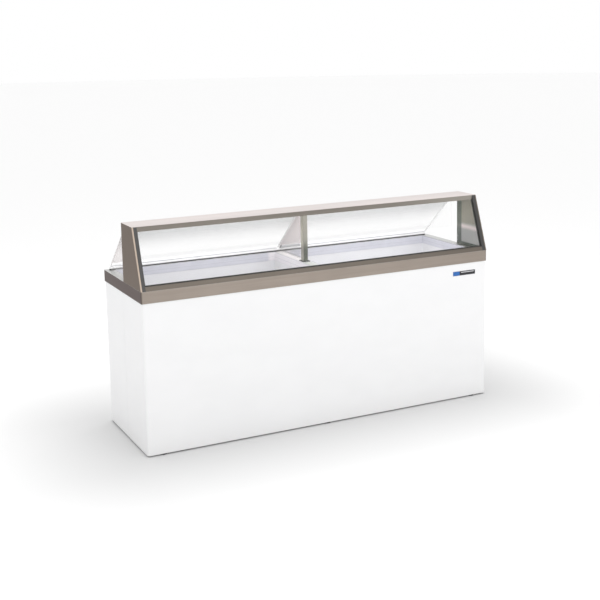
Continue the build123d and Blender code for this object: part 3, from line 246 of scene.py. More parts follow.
def moulded_plastic(name, colour, roughness=0.45, grit=600.0):
    """Moulded or extruded plastic: a fine grain, and faint flow clouds."""
    finish = Finish(name, colour, Specular_IOR_Level=0.5)
    grain = finish.noise((grit, grit, grit), detail=2.0)
    cloud = finish.noise((14.0, 14.0, 14.0), detail=2.0)
    finish.set(
        Base_Color=finish.tint(cloud.rise(0.3, 0.7), colour, 0.025),
        Roughness=roughness - 0.04 + grain * 0.05 + cloud * 0.06,
    )
    finish.bump(grain, 0.00003, 0.5)
    return finish


def rubber(name, colour):
    """Extruded rubber: matt, with a dusty bloom and a slightly rough skin."""
    finish = Finish(name, colour, Specular_IOR_Level=0.3)
    bloom = finish.noise((60.0, 160.0, 160.0), detail=4.0)
    skin = finish.noise((900.0, 900.0, 900.0), detail=2.0)
    finish.set(
        Base_Color=finish.blend(bloom.rise(0.45, 0.8) * 0.35, colour, (0.11, 0.11, 0.11)),
        Roughness=0.62 + bloom * 0.2,
    )
    finish.bump(skin, 0.00005, 0.6)
    return finish


def zinc_coat(name, colour):
    """Galvanised sheet: angular crystals of slightly different grey."""
    finish = Finish(name, colour, Metallic=1.0)
    value = finish.node("SeparateColor", values={0: finish.cells(70.0, "Color")})
    haze = finish.noise((8.0, 8.0, 8.0), detail=3.0)
    finish.set(
        Base_Color=finish.tint(value, colour, 0.16),
        Roughness=0.38 + value * 0.16 + haze * 0.08,
    )
    return finish


def bright_metal(name, colour, roughness=0.12, grit=300.0):
    """Plated wire, rod or screw: bright, with fine draw marks and light handling haze."""
    finish = Finish(name, colour, Metallic=1.0)
    haze = finish.noise((40.0, 40.0, 40.0), detail=3.0)
    mark = finish.noise((grit, grit, grit), detail=2.0)
    finish.set(
        Base_Color=finish.tint(haze.rise(0.3, 0.7), colour, 0.06),
        Roughness=roughness + haze * 0.10,
    )
    finish.bump(mark, 0.00002, 0.3)
    return finish


def drawn_copper(name, colour):
    """Copper tube: warm, with brown tarnish in clouds and paler rubbed places."""
    finish = Finish(name, colour, Metallic=1.0)
    cloud = finish.noise((22.0, 22.0, 22.0), detail=4.0)
    rub = finish.noise((90.0, 90.0, 90.0), detail=2.0)
    brown = [c * f for c, f in zip(colour, (0.5, 0.42, 0.4))]
    finish.set(
        Base_Color=finish.blend(cloud.rise(0.42, 0.66), colour, brown),
        Roughness=0.24 + cloud * 0.25 + rub * 0.06,
    )
    return finish


def black_enamel(name, colour):
    """Thick sprayed enamel on castings and pressings: semi-gloss, slightly lumpy, dusty."""
    finish = Finish(name, colour, Specular_IOR_Level=0.5)
    lump = finish.noise((110.0, 110.0, 110.0), detail=3.0)
    dust = finish.noise((30.0, 30.0, 30.0), detail=4.0).rise(0.5, 0.75)
    finish.set(
        Base_Color=finish.blend(dust * 0.4, colour, (0.16, 0.15, 0.14)),
        Roughness=0.3 + dust * 0.3,
    )
    finish.bump(lump, 0.0002, 0.4)
    return finish


def rigid_foam(name, colour):
    """Poured foam: pale yellow, with small open cells on its cut faces."""
    finish = Finish(name, colour, Specular_IOR_Level=0.15)
    cell = finish.cells(260.0, "Distance")
    age = finish.noise((7.0, 7.0, 7.0), detail=3.0)
    yellowed = finish.tint(age.rise(0.3, 0.7), colour, 0.07)
    finish.set(Base_Color=yellowed, Roughness=0.92 - cell * 0.08)
    finish.bump(cell, 0.0008, 0.5)
    return finish


def clear_pane(name, colour, film, roughness=0.02, edge=None, edge_colour=None, haze=None):
    """Clear sheet: nearly all light passes square on, and more is mirrored at a slant.

    film is the least share of light that it stops. edge and haze are functions that turn a finish
    into a wire: 1 on the tinted edges of the sheet, and 1 where a grey shade is painted on it.
    """
    finish = Finish(name, colour, Specular_IOR_Level=0.6, IOR=1.49)
    slant = finish.node("LayerWeight", values={0: 0.5}, output="Facing") ** 6.0
    wipe = finish.noise((5.0, 9.0, 4.0), detail=3.0).rise(0.45, 0.75)
    alpha = slant * 0.5 + film + wipe * 0.010
    if haze:
        # Painted grey shade: where haze is 1 the sheet stops more light and turns greyer.
        grey_shade = haze(finish)
        alpha = alpha + grey_shade * 0.28
        colour = finish.blend(grey_shade, colour, (0.42, 0.43, 0.43))
    if edge:
        tinted = edge(finish)
        alpha = alpha * (1 - tinted) + tinted * 0.78
        colour = finish.blend(tinted, colour, edge_colour)
    finish.set(Base_Color=colour, Alpha=alpha, Roughness=roughness + wipe * 0.05)
    return finish


# Surfaces --------------------------------------------------------------------------------------

def grid_faces(rows, columns, wrap_rows, wrap_columns):
    """Quads of a grid, as indices into its points laid out row by row."""
    i = np.arange(rows if wrap_rows else rows - 1)
    j = np.arange(columns if wrap_columns else columns - 1)
    i, j = (a.ravel() for a in np.meshgrid(i, j, indexing="ij"))
    row, row_after, after = i * columns, (i + 1) % rows * columns, (j + 1) % columns
    return np.stack([row + j, row + after, row_after + after, row_after + j], 1)


def piece(name, grids, material, body="cabinet", smooth=True, replaces=()):
    """Object made of grids of points, each (points, wrap rows, wrap columns), riding on a body.

    A grid's rows may shrink to one point at a pole: doubles are merged and the normals turned out.
    """
    points, faces, start = [], [], 0
    for grid, wrap_rows, wrap_columns in grids:
        rows, columns = grid.shape[:2]
        faces.append(grid_faces(rows, columns, wrap_rows, wrap_columns) + start)
        points.append(grid.reshape(-1, 3))
        start += rows * columns
    mesh = bpy.data.meshes.new(name)
    mesh.from_pydata(np.concatenate(points), [], np.concatenate(faces).tolist())
    shape = bpy.data.objects.new(name, mesh)
    bpy.context.scene.collection.objects.link(shape)
    merge = shape.modifiers.new("merge", "WELD")
    merge.merge_threshold = 1e-6
    bpy.context.view_layer.objects.active = shape
    bpy.ops.object.select_all(action="DESELECT")
    shape.select_set(True)
    bpy.ops.object.modifier_apply(modifier="merge")
    bpy.ops.object.mode_set(mode="EDIT")
    bpy.ops.mesh.select_all(action="SELECT")
    bpy.ops.mesh.normals_make_consistent(inside=False)
    bpy.ops.object.mode_set(mode="OBJECT")
    mesh.materials.append(material)
    mesh.polygons.foreach_set("use_smooth", np.full(len(mesh.polygons), smooth))
    if smooth:
        mesh.set_sharp_from_angle(angle=math.radians(35))
    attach(shape, body)
    if replaces:
        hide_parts(*replaces)
    return shape


def carried(profile, low, high, axis=0):
    """Closed flat profile carried straight along an axis, with both ends closed to a point.

    A profile's points hold the two other coordinates, in their order.
    """
    middle = profile.mean(0)
    rings = []
    for place, shrunk in ((low, True), (low, False), (high, False), (high, True)):
        ring = np.broadcast_to(middle, profile.shape) if shrunk else profile
        rings.append(np.insert(ring, axis, place, axis=1))
    return np.array(rings), False, True


def round_mouth(centre, half, corner, profile, arc=8):
    """Profile of (outward, up) points carried round a rectangle with rounded corners, at z 0.

    A point is the corner's centre plus its radius and the outward distance along the turning
    normal.
    """
    turn = np.linspace(0, math.pi / 2, arc)
    angles = np.concatenate([turn + quarter * math.pi / 2 for quarter in range(4)])
    side = np.repeat([[1, 1], [-1, 1], [-1, -1], [1, -1]], arc, axis=0)
    hub = np.array(centre) + side * (np.array(half) - corner)
    normal = np.stack([np.cos(angles), np.sin(angles)], 1)
    flat = hub[:, None] + normal[:, None] * (corner + profile[None, :, :1])
    up = np.broadcast_to(profile[None, :, 1:], (*flat.shape[:2], 1))
    return np.concatenate([flat, up], 2), True, True


def boxes(low, high):
    """Boxes between rows of lowest and highest corners: each is a rectangle carried along X."""
    low, high = np.asarray(low, float), np.asarray(high, float)
    grids = []
    for a, b in zip(low, high):
        loop = np.array([[a[1], a[2]], [b[1], a[2]], [b[1], b[2]], [a[1], b[2]]])
        grids.append(carried(loop, a[0], b[0]))
    return grids


def pipe(path, radius, sides=12):
    """Round tube along points, with both ends closed to a point.

    A ring is the path's point plus the radius times the cosine and sine of an angle, along two
    directions that are square to the path and to each other.
    """
    path = np.asarray(path, float)
    along = np.gradient(path, axis=0)
    along /= np.linalg.norm(along, axis=1)[:, None]
    helper = np.array([0.13, 0.97, 0.21])
    first = np.cross(along, helper)
    first /= np.linalg.norm(first, axis=1)[:, None]
    second = np.cross(along, first)
    angle = np.linspace(0, 2 * math.pi, sides, endpoint=False)
    cos, sin = np.cos(angle)[None, :, None], np.sin(angle)[None, :, None]
    body = path[:, None] + radius * (cos * first[:, None] + sin * second[:, None])
    ends = [np.repeat(path[:1, None], sides, 1), np.repeat(path[-1:, None], sides, 1)]
    return np.concatenate([ends[0], body, ends[1]]), False, True


# Properties ------------------------------------------------------------------------------------

def colour_property(name, description, default):
    return bpy.props.FloatVectorProperty(
        name=name, description=description, default=default,
        size=3, subtype="COLOR", min=0.0, max=1.0,
    )


def size_property(name, description, default):
    return bpy.props.FloatProperty(
        name=name, description=description, default=default,
        min=0.0, unit="LENGTH", subtype="DISTANCE",
    )


class CabinetColours(bpy.types.PropertyGroup):
    """Colours of the cabinet's finishes."""

    rim: colour_property("Rim", "Steel of the rim's long sides", (0.345, 0.297, 0.258))
    # Painted shade: the rim's ends get this much darker copy of the rim's steel colour.
    rim_end_shade: colour_property("Rim ends", "Steel of the rim's two ends", (0.066, 0.038, 0.031))
    guard: colour_property("Guard ends", "Steel of the guard's sloping ends", (0.125, 0.088, 0.062))
    lining: colour_property("Guard linings", "Steel inside the guard's ends", (0.30, 0.285, 0.235))
    canopy: colour_property("Canopy", "Steel of the shelf's turned edges", (0.235, 0.213, 0.188))
    # Painted highlight: the shelf's top gets this much paler copy of the canopy's steel.
    shelf: colour_property("Shelf top", "Steel of the canopy shelf's top", (0.72, 0.655, 0.635))
    post: colour_property("Post", "Steel of the centre post", (0.40, 0.385, 0.335))
    channel: colour_property("Glass channels", "Dark steel beside the glass", (0.085, 0.083, 0.082))
    paint: colour_property("Case paint", "White paint of the case", (0.845, 0.845, 0.85))
    enamel: colour_property("Liner", "White enamel of the wells", (0.79, 0.79, 0.81))
    collar: colour_property("Collars", "Cool grey plastic round the wells", (0.63, 0.63, 0.69))
    bar: colour_property("Lid bars", "White plastic of the lid bars", (0.95, 0.95, 0.95))
    acrylic: colour_property("Lid sheets", "Clear plastic of the lids", (0.93, 0.90, 0.895))
    glass: colour_property("Glass", "The front pane", (0.88, 0.93, 0.915))
    glass_edge: colour_property("Glass edge", "The front pane's green edge", (0.10, 0.22, 0.17))
    rubber: colour_property("Rubber", "Black rubber of the seals", (0.022, 0.022, 0.022))
    plate_blue: colour_property("Plate blue", "Left part of the blank plate", (0.018, 0.13, 0.42))
    plate_black: colour_property("Plate black", "Rest of the blank plate", (0.012, 0.012, 0.015))
    # Painted shadow: the floor is this darker grey beside the cabinet, paler further away.
    floor: colour_property("Floor", "The studio's floor beside the cabinet", (0.68, 0.68, 0.68))


class CabinetSizes(bpy.types.PropertyGroup):
    """Sizes of the trim that is made here."""

    bead_width: size_property("Bead width", "Width of the bead round each well", 0.0040)
    bead_height: size_property("Bead height", "Height of the bead round each well", 0.0018)
    bead_corner: size_property("Bead corner", "Corner radius of each well's mouth", 0.0060)
    seal_lip: size_property("Seal wing", "Thickness of the lid seal's flat wings", 0.0014)
    fin_pitch: size_property("Fin pitch", "Distance between the condenser's fins", 0.0036)
    fin_thick: size_property("Fin thickness", "Thickness of a condenser fin", 0.0006)
    tick_length: size_property("Tick length", "Length of a mark round the knob", 0.0045)
    tick_width: size_property("Tick width", "Width of a mark round the knob", 0.0012)


class CabinetStudio(bpy.types.PropertyGroup):
    """The camera and the lights."""

    camera: bpy.props.FloatVectorProperty(
        name="Camera", description="Where the camera stands", size=3, unit="LENGTH",
        default=(-2.867073, -5.825776, 2.239403),
    )
    yaw: bpy.props.FloatProperty(
        name="Yaw", description="Turn of the camera to the right of +Y", default=0.45777,
        unit="ROTATION",
    )
    pitch: bpy.props.FloatProperty(
        name="Pitch", description="Tilt of the camera above the horizon", default=-0.154681,
        unit="ROTATION",
    )
    roll: bpy.props.FloatProperty(
        name="Roll", description="Turn of the camera about its line of sight", default=-0.018981,
        unit="ROTATION",
    )
    lens: bpy.props.FloatProperty(
        name="Lens", description="Focal length in mm", default=65.7743, min=1.0
    )
    rise: bpy.props.FloatProperty(
        name="Rise", description="Vertical shift of the lens", default=-0.15
    )
    sky: bpy.props.FloatProperty(
        name="Sky", description="Brightness of the room", default=1.0, min=0.0
    )
    key: bpy.props.FloatProperty(
        name="Key", description="Power of the large front light in W", default=45.0
    )
    top: bpy.props.FloatProperty(
        name="Top", description="Power of the large top light in W", default=40.0
    )
    fill: bpy.props.FloatProperty(
        name="Fill", description="Power of the strip light over the wells in W", default=4.2
    )


def dress(material, *names):
    """Gives CAD nodes a material in every slot."""
    for name in names:
        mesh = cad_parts[name].data
        if not mesh.materials:
            mesh.materials.append(material)
        for place in range(len(mesh.materials)):
            mesh.materials[place] = material


def stand(shape, across, upright, back, at):
    """Turns a camera or lamp so that its own axes lie along three directions, and moves it."""
    matrix = np.eye(4)
    matrix[:3] = np.column_stack([across, upright, back, at])
    shape.matrix_world = Matrix(matrix.tolist())


def colours():
    """The scene's colours for the cabinet."""
    return bpy.context.scene.cabinet_colours


def sizes():
    """The scene's sizes for the trim."""
    return bpy.context.scene.cabinet_sizes


# Operators -------------------------------------------------------------------------------------

class CABINET_OT_rim(bpy.types.Operator):
    """Brushed steel rim: a dark joint line on its mitres, a painted dark reflection down its corner
    folds, and a painted paler top
    """

    bl_idname = "cabinet.rim"
    bl_label = "Steel rim"

    def execute(self, context):
        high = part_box("rim_sides")[1]
        seam, seam_faded = 0.0004, 0.0011
        fold, fold_faded = 0.0040, 0.0060
        # The ends' darker steel colour is painted shade.
        for name, colour, grain in (
            ("rim_sides", colours().rim, 0), ("rim_ends", colours().rim_end_shade, 1)
        ):
            finish = brushed_steel(name + "_steel", colour, grain, roughness=0.34)
            top = finish.z.rise(high.z - 0.0006, high.z - 0.0002)
            reach_x = abs(high.x - abs(finish.x))
            reach_y = abs(high.y - abs(finish.y))
            # Dark joint line along each mitre on top; painted dark reflection down the corners of
            # the sides.
            mitre = 1 - abs(reach_x - reach_y).rise(seam, seam_faded)
            corner = (1 - reach_x.rise(fold, fold_faded)) * (1 - reach_y.rise(fold, fold_faded))
            line = mitre * top * 0.6 + corner * (1 - top) * 0.35
            # Painted highlight: the top face is paler than the sides.
            pale = finish.blend(top, finish.colour(), (0.56, 0.56, 0.55))
            finish.set(Base_Color=finish.blend(line, pale, (0.05, 0.045, 0.04)))
            dress(finish.material, name)
        return {"FINISHED"}


class CABINET_OT_guard(bpy.types.Operator):
    """Brushed steel guard ends with their linings, and the channels that hold the front pane"""

    bl_idname = "cabinet.guard"
    bl_label = "Steel guard ends"

    def execute(self, context):
        low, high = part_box("guard_ends")
        ends = brushed_steel("guard_end_steel", colours().guard, 2, roughness=0.36)
        lean = (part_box("canopy_shelf")[0].y - low.y) / (high.z - low.z)
        behind = ends.y - ((ends.z - low.z) * lean + low.y)
        # Painted light on the fold along the sloping front edge: a pale highlight on the left end,
        # shade on the right.
        fold = ends.blend(ends.x.rise(-0.1, 0.1), (0.40, 0.33, 0.27), (0.16, 0.14, 0.12))
        ends.set(Base_Color=ends.blend(behind.rise(0.0012, 0.0020), fold, ends.colour()))
        dress(ends.material, "guard_ends")
        self.lining()
        channel = brushed_steel("channel_steel", colours().channel, 2, roughness=0.40)
        dress(channel.material, "glass_side_rails")
        rail = brushed_steel("bottom_rail_steel", (0.155, 0.135, 0.115), 0, roughness=0.40)
        dress(rail.material, "glass_bottom_rail")
        dress(zinc_coat("top_rail_zinc", (0.62, 0.63, 0.62)).material, "glass_top_rail")
        return {"FINISHED"}

    def lining(self):
        """Steel inside the ends: darker above a painted reflection band, paler grey below, and
        painted shade in the rear and foot folds.
        """
        low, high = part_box("guard_linings")
        band_low, band_high = 1.030, 1.054
        rear_fold, foot_fold, soft = 0.046, 0.014, 0.006
        steel = brushed_steel("guard_lining_steel", colours().lining, 2, roughness=0.30, smear=0.16)
        upper = steel.z.rise(1.04, 1.08)
        band = within(steel.z, band_low, band_high, soft=0.012)
        rear = steel.y.rise(high.y - rear_fold - soft, high.y - rear_fold)
        foot = 1 - steel.z.rise(low.z + foot_fold, low.z + foot_fold + soft)
        face = steel.blend(upper, (0.44, 0.44, 0.41), steel.colour())
        # Painted reflection: a pale pinkish band across the lining.
        face = steel.blend(band * 0.8, face, (0.80, 0.70, 0.67))
        # Painted shade: dark green-grey in the rear and foot folds.
        fold = (rear + foot).limit("MINIMUM", 1.0)
        steel.set(Base_Color=steel.blend(fold * 0.8, face, (0.105, 0.125, 0.105)))
        dress(steel.material, "guard_linings")


class CABINET_OT_canopy(bpy.types.Operator):
    """Brushed steel canopy shelf, its post with a black foot plate, and the lids' hinge lugs"""

    bl_idname = "cabinet.canopy"
    bl_label = "Canopy and post"

    def execute(self, context):
        sheet = 0.0012
        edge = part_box("canopy_shelf")[1].z - sheet
        shelf = brushed_steel("canopy_steel", colours().canopy, 0, roughness=0.36, smear=0.14)
        top = shelf.z.rise(edge + 0.0001, edge + 0.0006)
        # Painted light: the turned edges are paler towards the right, and the top is paler than the
        # edges.
        towards_right = shelf.x.rise(0.25, 1.10)
        face = shelf.blend(towards_right * 0.6, shelf.colour(), (0.40, 0.375, 0.335))
        shelf.set(Base_Color=shelf.blend(top, face, colours().shelf))
        dress(shelf.material, "canopy_shelf")
        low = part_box("centre_post")[0]
        post = brushed_steel("post_steel", colours().post, 2, roughness=0.30)
        # Painted highlight on the post's left face; the post is also darker and greener towards its
        # foot.
        left = 1 - post.x.rise(low.x + 0.0003, low.x + 0.0006)
        height = post.z.rise(low.z + 0.06, low.z + 0.15)
        face = post.blend(height, (0.24, 0.25, 0.205), post.colour())
        post.set(Base_Color=post.blend(left, face, (0.47, 0.45, 0.375)))
        dress(post.material, "centre_post")
        dress(brushed_steel("lug_steel", colours().post, 2, roughness=0.34).material, "hinge_lugs")
        dress(moulded_plastic("post_foot_black", BLACK_PLASTIC).material, "post_foot")
        return {"FINISHED"}


class CABINET_OT_case(bpy.types.Operator):
    """White painted case, grille, zinc base and black glides"""

    bl_idname = "cabinet.case"
    bl_label = "Case and base"

    def execute(self, context):
        paint = powder_coat("case_paint", colours().paint)
        dress(paint.material, "front_case", "rear_case")
        dress(powder_coat("grille_paint", colours().paint, 0.4).material, "service_grille")
        zinc = zinc_coat("base_zinc", ZINC)
        dress(zinc.material, "base_frame", "base_pan", "seam_battens", "unit_tray")
        dress(moulded_plastic("glide_black", BLACK_PLASTIC, 0.5).material, "levelling_feet")
        dress(rigid_foam("poured_foam", (0.80, 0.70, 0.45)).material, "insulation")
        return {"FINISHED"}


class CABINET_OT_name_plate(bpy.types.Operator):
    """Blank plate: a blue field, a black one with a plain pale stripe, and a grey rim"""

    bl_idname = "cabinet.name_plate"
    bl_label = "Blank name plate"

    def execute(self, context):
        low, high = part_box("name_plate")
        wide, tall = high.x - low.x, high.z - low.z
        border = 0.0016
        plate = moulded_plastic("name_plate_blank", colours().plate_black, 0.18)
        left = 1 - plate.x.rise(low.x + 0.29 * wide, low.x + 0.30 * wide)
        inside_x = within(plate.x, low.x + border, high.x - border)
        inside_z = within(plate.z, low.z + border, high.z - border)
        stripe_x = within(plate.x, low.x + 0.36 * wide, high.x - 0.06 * wide)
        stripe_z = within(plate.z, low.z + 0.60 * tall, low.z + 0.78 * tall)
        ground = plate.blend(left, colours().plate_black, colours().plate_blue)
        ground = plate.blend(stripe_x * stripe_z * 0.75, ground, (0.72, 0.72, 0.74))
        rim = 1 - inside_x * inside_z
        plate.set(Base_Color=plate.blend(rim * 0.85, ground, (0.30, 0.31, 0.33)))
        dress(plate.material, "name_plate")
        return {"FINISHED"}


class CABINET_OT_wells(bpy.types.Operator):
    """White enamelled tank, cool grey collars, mullion, wire racks and drain"""

    bl_idname = "cabinet.wells"
    bl_label = "Wells"

    def execute(self, context):
        liner = powder_coat("well_enamel", colours().enamel, 0.30)
        dress(liner.material, "tank_liner", "rack_ledges")
        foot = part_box("well_collars")[0].z
        collar = moulded_plastic("collar_plastic", colours().collar, 0.38)
        groove = within(collar.z, foot + 0.0215, foot + 0.0235)
        lip = 1 - collar.z.rise(foot, foot + 0.0015)
        beside_mullion = 1 - abs(collar.x).rise(0.060, 0.090)
        pale = collar.blend(beside_mullion * 0.8, collar.colour(), (0.90, 0.86, 0.88))
        collar.set(Base_Color=collar.blend((groove + lip) * 0.5, pale, (0.40, 0.40, 0.46)))
        dress(collar.material, "well_collars")
        dress(moulded_plastic("mullion_plastic", (0.82, 0.81, 0.82), 0.4).material, "mullion")
        cap = moulded_plastic("cap_plastic", (0.66, 0.63, 0.63), 0.35)
        line = within(abs(cap.x), 0.0145, 0.0165)
        post_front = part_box("post_foot")[0].y
        front = 1 - cap.y.rise(post_front - 0.010, post_front + 0.010)
        face = cap.blend(front, cap.colour(), (0.44, 0.45, 0.43))
        cap.set(Base_Color=cap.blend(line * 0.55, face, (0.36, 0.34, 0.34)))
        dress(cap.material, "mullion_cap")
        dress(bright_metal("plated_wire", (0.74, 0.74, 0.75)).material, "can_racks")
        dress(moulded_plastic("drain_plastic", (0.84, 0.84, 0.83)).material, "drain_fitting")
        dress(rubber("plug_rubber", colours().rubber).material, "drain_plug")
        dress(drawn_copper("coil_copper", COPPER).material, "evaporator_coil")
        return {"FINISHED"}


class CABINET_OT_well_beads(bpy.types.Operator):
    """Plastic bead on the flange round each well's mouth: half an ellipse carried round it"""

    bl_idname = "cabinet.well_beads"
    bl_label = "Well beads"

    def execute(self, context):
        size = sizes()
        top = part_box("rim_sides")[1].z
        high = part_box("well_collars")[1]
        wall, cap_to_mouth = 0.003, 0.010
        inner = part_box("mullion_cap")[1].x + cap_to_mouth
        outer, half_y = high.x - wall, high.y - wall
        turn = np.linspace(0, math.pi, 9)
        middle, sunk = size.bead_width / 2, 0.0004
        profile = np.column_stack([
            middle - middle * np.cos(turn), top - sunk + (size.bead_height + sunk) * np.sin(turn)
        ])
        grids = []
        for side in (-1, 1):
            centre, half = (side * (inner + outer) / 2, 0.0), ((outer - inner) / 2, half_y)
            grids.append(round_mouth(centre, half, size.bead_corner, profile))
        finish = moulded_plastic("bead_plastic", (0.50, 0.50, 0.53), 0.35)
        piece("well_beads", grids, finish.material)
        return {"FINISHED"}


class CABINET_OT_glazing(bpy.types.Operator):
    """Front pane with a green edge, and its rubber beads"""

    bl_idname = "cabinet.glazing"
    bl_label = "Front glass"

    def execute(self, context):
        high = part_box("front_glass")[1]
        start, full = 0.0003, 0.0001

        def cut_edges(finish):
            sides = abs(finish.x).rise(high.x - start, high.x - full)
            return sides + finish.z.rise(high.z - start, high.z - full)

        pane = clear_pane(
            "plate_glass", colours().glass, 0.012, edge=cut_edges, edge_colour=colours().glass_edge
        )
        dress(pane.material, "front_glass")
        dress(rubber("bead_rubber", (0.055, 0.055, 0.050)).material, "glass_gasket")
        return {"FINISHED"}


class CABINET_OT_lids(bpy.types.Operator):
    """Clear lids with white bars, hinge rails and pale edge channels"""

    bl_idname = "cabinet.lids"
    bl_label = "Lids"

    def execute(self, context):
        self.sheets()
        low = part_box("right_lid_bar")[0]
        bar = moulded_plastic("bar_plastic", colours().bar, 0.30)
        # Painted light: the bars' upper front faces glow, though the bars are no lamp.
        front = 1 - bar.y.rise(low.y + 0.001, low.y + 0.003)
        lit = bar.z.rise(low.z + 0.006, low.z + 0.012) * front
        glow = bar.blend(lit, (0.0, 0.0, 0.0), (0.34, 0.34, 0.35))
        bar.set(Emission_Color=glow, Emission_Strength=1.0)
        dress(bar.material, "left_lid_bar", "right_lid_bar")
        hinge = moulded_plastic("hinge_plastic", (0.88, 0.88, 0.87), 0.36)
        dress(hinge.material, "left_lid_hinge_rail", "right_lid_hinge_rail")
        trim = clear_pane("clear_channel", (0.90, 0.89, 0.885), 0.16, roughness=0.10)
        dress(trim.material, "left_lid_trims", "right_lid_trims")
        rod = bright_metal("rod_steel", (0.70, 0.70, 0.70))
        dress(rod.material, "left_lid_rod", "right_lid_rod", "screws")
        return {"FINISHED"}

    def sheets(self):
        """Clear sheets with painted grey shade towards the hinge and above the bar, and painted
        reflection on the cheeks.

        The painted reflection starts over the bar, along a line that climbs towards the front.
        """
        low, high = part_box("right_lid_sheet")
        bar_low, bar_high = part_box("right_lid_bar")
        thick, climb, soft = 0.0031, 0.208, 0.0001
        shade_from, shade_to = 1.030, 1.180
        low_shade_from, low_shade_to = 0.970, 1.000

        def inner_cheek(finish):
            return 1 - abs(finish.x).rise(low.x + thick, low.x + thick + soft)

        def outer_cheek(finish):
            return abs(finish.x).rise(high.x - thick, high.x - thick + soft)

        # Painted reflection: a pinkish tint on the inner cheeks and the left lid's outer cheek,
        # above a line over the bar.
        def cheeks(finish):
            left = 1 - finish.x.rise(-0.001, 0.001)
            over_bar = finish.z + (finish.y - bar_low.y) * climb
            reflection_above_bar = over_bar.rise(bar_high.z - 0.001, bar_high.z + 0.005)
            tint = inner_cheek(finish) * 0.48 + outer_cheek(finish) * (0.04 + left * 0.42)
            return tint * (0.06 + reflection_above_bar * 0.94)

        # Painted grey shade: strong towards the hinge, faint over a band just above the bar.
        def painted_shade(finish):
            upper = finish.z.rise(shade_from, shade_to)
            lower = within(finish.z, low_shade_from, low_shade_to, soft=0.010)
            right_cheek = finish.x.rise(high.x - thick, high.x - thick + soft)
            return (upper + lower * 0.20) * (1 - right_cheek) * (1 - inner_cheek(finish) * 0.8)

        # The cheeks' pinkish edge colour is a painted reflection, and the haze is a painted grey
        # shade.
        sheet = clear_pane(
            "clear_acrylic", colours().acrylic, 0.012,
            edge=cheeks, edge_colour=(0.55, 0.45, 0.44), haze=painted_shade,
        )
        dress(sheet.material, "left_lid_sheet", "right_lid_sheet")


class CABINET_OT_lid_seal(bpy.types.Operator):
    """Seal that the lid bars rest on: half an ellipse on two wings, carried along the flange"""

    bl_idname = "cabinet.lid_seal"
    bl_label = "Lid seal"

    def execute(self, context):
        low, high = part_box("lid_rest")
        lip = low.z + sizes().seal_lip
        turn = np.linspace(0, math.pi, 17)
        middle, width = (low.y + high.y) / 2, high.y - low.y
        reach, tall = width * 0.36, high.z - lip
        bulb = np.column_stack([middle + reach * np.cos(turn), lip + tall * np.sin(turn)])
        wings = np.array([[low.y, lip], [low.y, low.z], [high.y, low.z], [high.y, lip]])
        seal = carried(np.concatenate([bulb, wings]), low.x, high.x)
        finish = rubber("seal_rubber", (0.07, 0.07, 0.068))
        piece("lid_seal", [seal], finish.material, replaces=["lid_rest"])
        return {"FINISHED"}


class CABINET_OT_machine(bpy.types.Operator):
    """Compressor, fan, drier and copper lines"""

    bl_idname = "cabinet.machine"
    bl_label = "Machine bay"

    def execute(self, context):
        enamel = black_enamel("machine_enamel", (0.022, 0.022, 0.022))
        dress(enamel.material, "compressor", "fan_motor")
        dress(rubber("grommet_rubber", colours().rubber).material, "compressor_grommets")
        dress(zinc_coat("shroud_zinc", ZINC).material, "fan_shroud")
        dress(bright_metal("fan_aluminium", (0.72, 0.72, 0.72), 0.30).material, "fan_blade")
        copper = drawn_copper("line_copper", COPPER)
        dress(copper.material, "discharge_line", "liquid_lines", "suction_line", "filter_drier")
        return {"FINISHED"}


class CABINET_OT_condenser(bpy.types.Operator):
    """Condenser of thin fins between two end plates, with its rows of tube and return bends"""

    bl_idname = "cabinet.condenser"
    bl_label = "Condenser"

    def execute(self, context):
        low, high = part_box("condenser")
        shroud_low, shroud_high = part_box("fan_shroud")
        plate = 0.002
        core_low, core_high = shroud_low.x + plate, shroud_high.x - plate
        size = sizes()
        count = int((core_high - core_low) / size.fin_pitch)
        x = core_low + (core_high - core_low) * np.arange(count) / (count - 1)
        half = size.fin_thick / 2
        fin_low = np.column_stack([x - half, np.full(count, low.y), np.full(count, low.z)])
        fin_high = np.column_stack([x + half, np.full(count, high.y), np.full(count, high.z)])
        fins = boxes(fin_low, fin_high)
        metal = bright_metal("fin_aluminium", (0.30, 0.30, 0.30), 0.42)
        piece(
            "condenser_fins", fins, metal.material,
            smooth=False, replaces=["condenser"],
        )
        plates = boxes(
            [(core_low - plate, low.y, low.z), (core_high, low.y, low.z)],
            [(core_low, high.y, high.z), (core_high + plate, high.y, high.z)],
        )
        steel = zinc_coat("end_plate_zinc", (0.55, 0.56, 0.55))
        piece("condenser_plates", plates, steel.material, smooth=False)
        middle = (low.y + high.y) / 2
        rows = 5
        pitch = (high.z - low.z) / (2 * rows + 1)
        tube, bend = 0.0045, 0.014
        pipes = []
        arc = np.linspace(-math.pi / 2, math.pi / 2, 13)
        for row in range(rows):
            at = low.z + pitch * (2 * row + 1)
            for start, side, z, shown in (
                (core_low - plate, -1, at, True), (core_high + plate, 1, at - pitch, row > 0)
            ):
                if shown:
                    across, up = side * bend * np.cos(arc), bend * np.sin(arc)
                    path = np.column_stack([start + across, np.full(len(arc), middle), z + up])
                    pipes.append(pipe(path, tube))
        inset = 0.020
        for z in (low.z + inset, high.z - inset):
            path = [(core_high + plate, middle, z), (high.x, middle, z)]
            pipes.append(pipe(path, tube))
        copper = drawn_copper("bend_copper", COPPER)
        piece("condenser_tubes", pipes, copper.material)
        return {"FINISHED"}


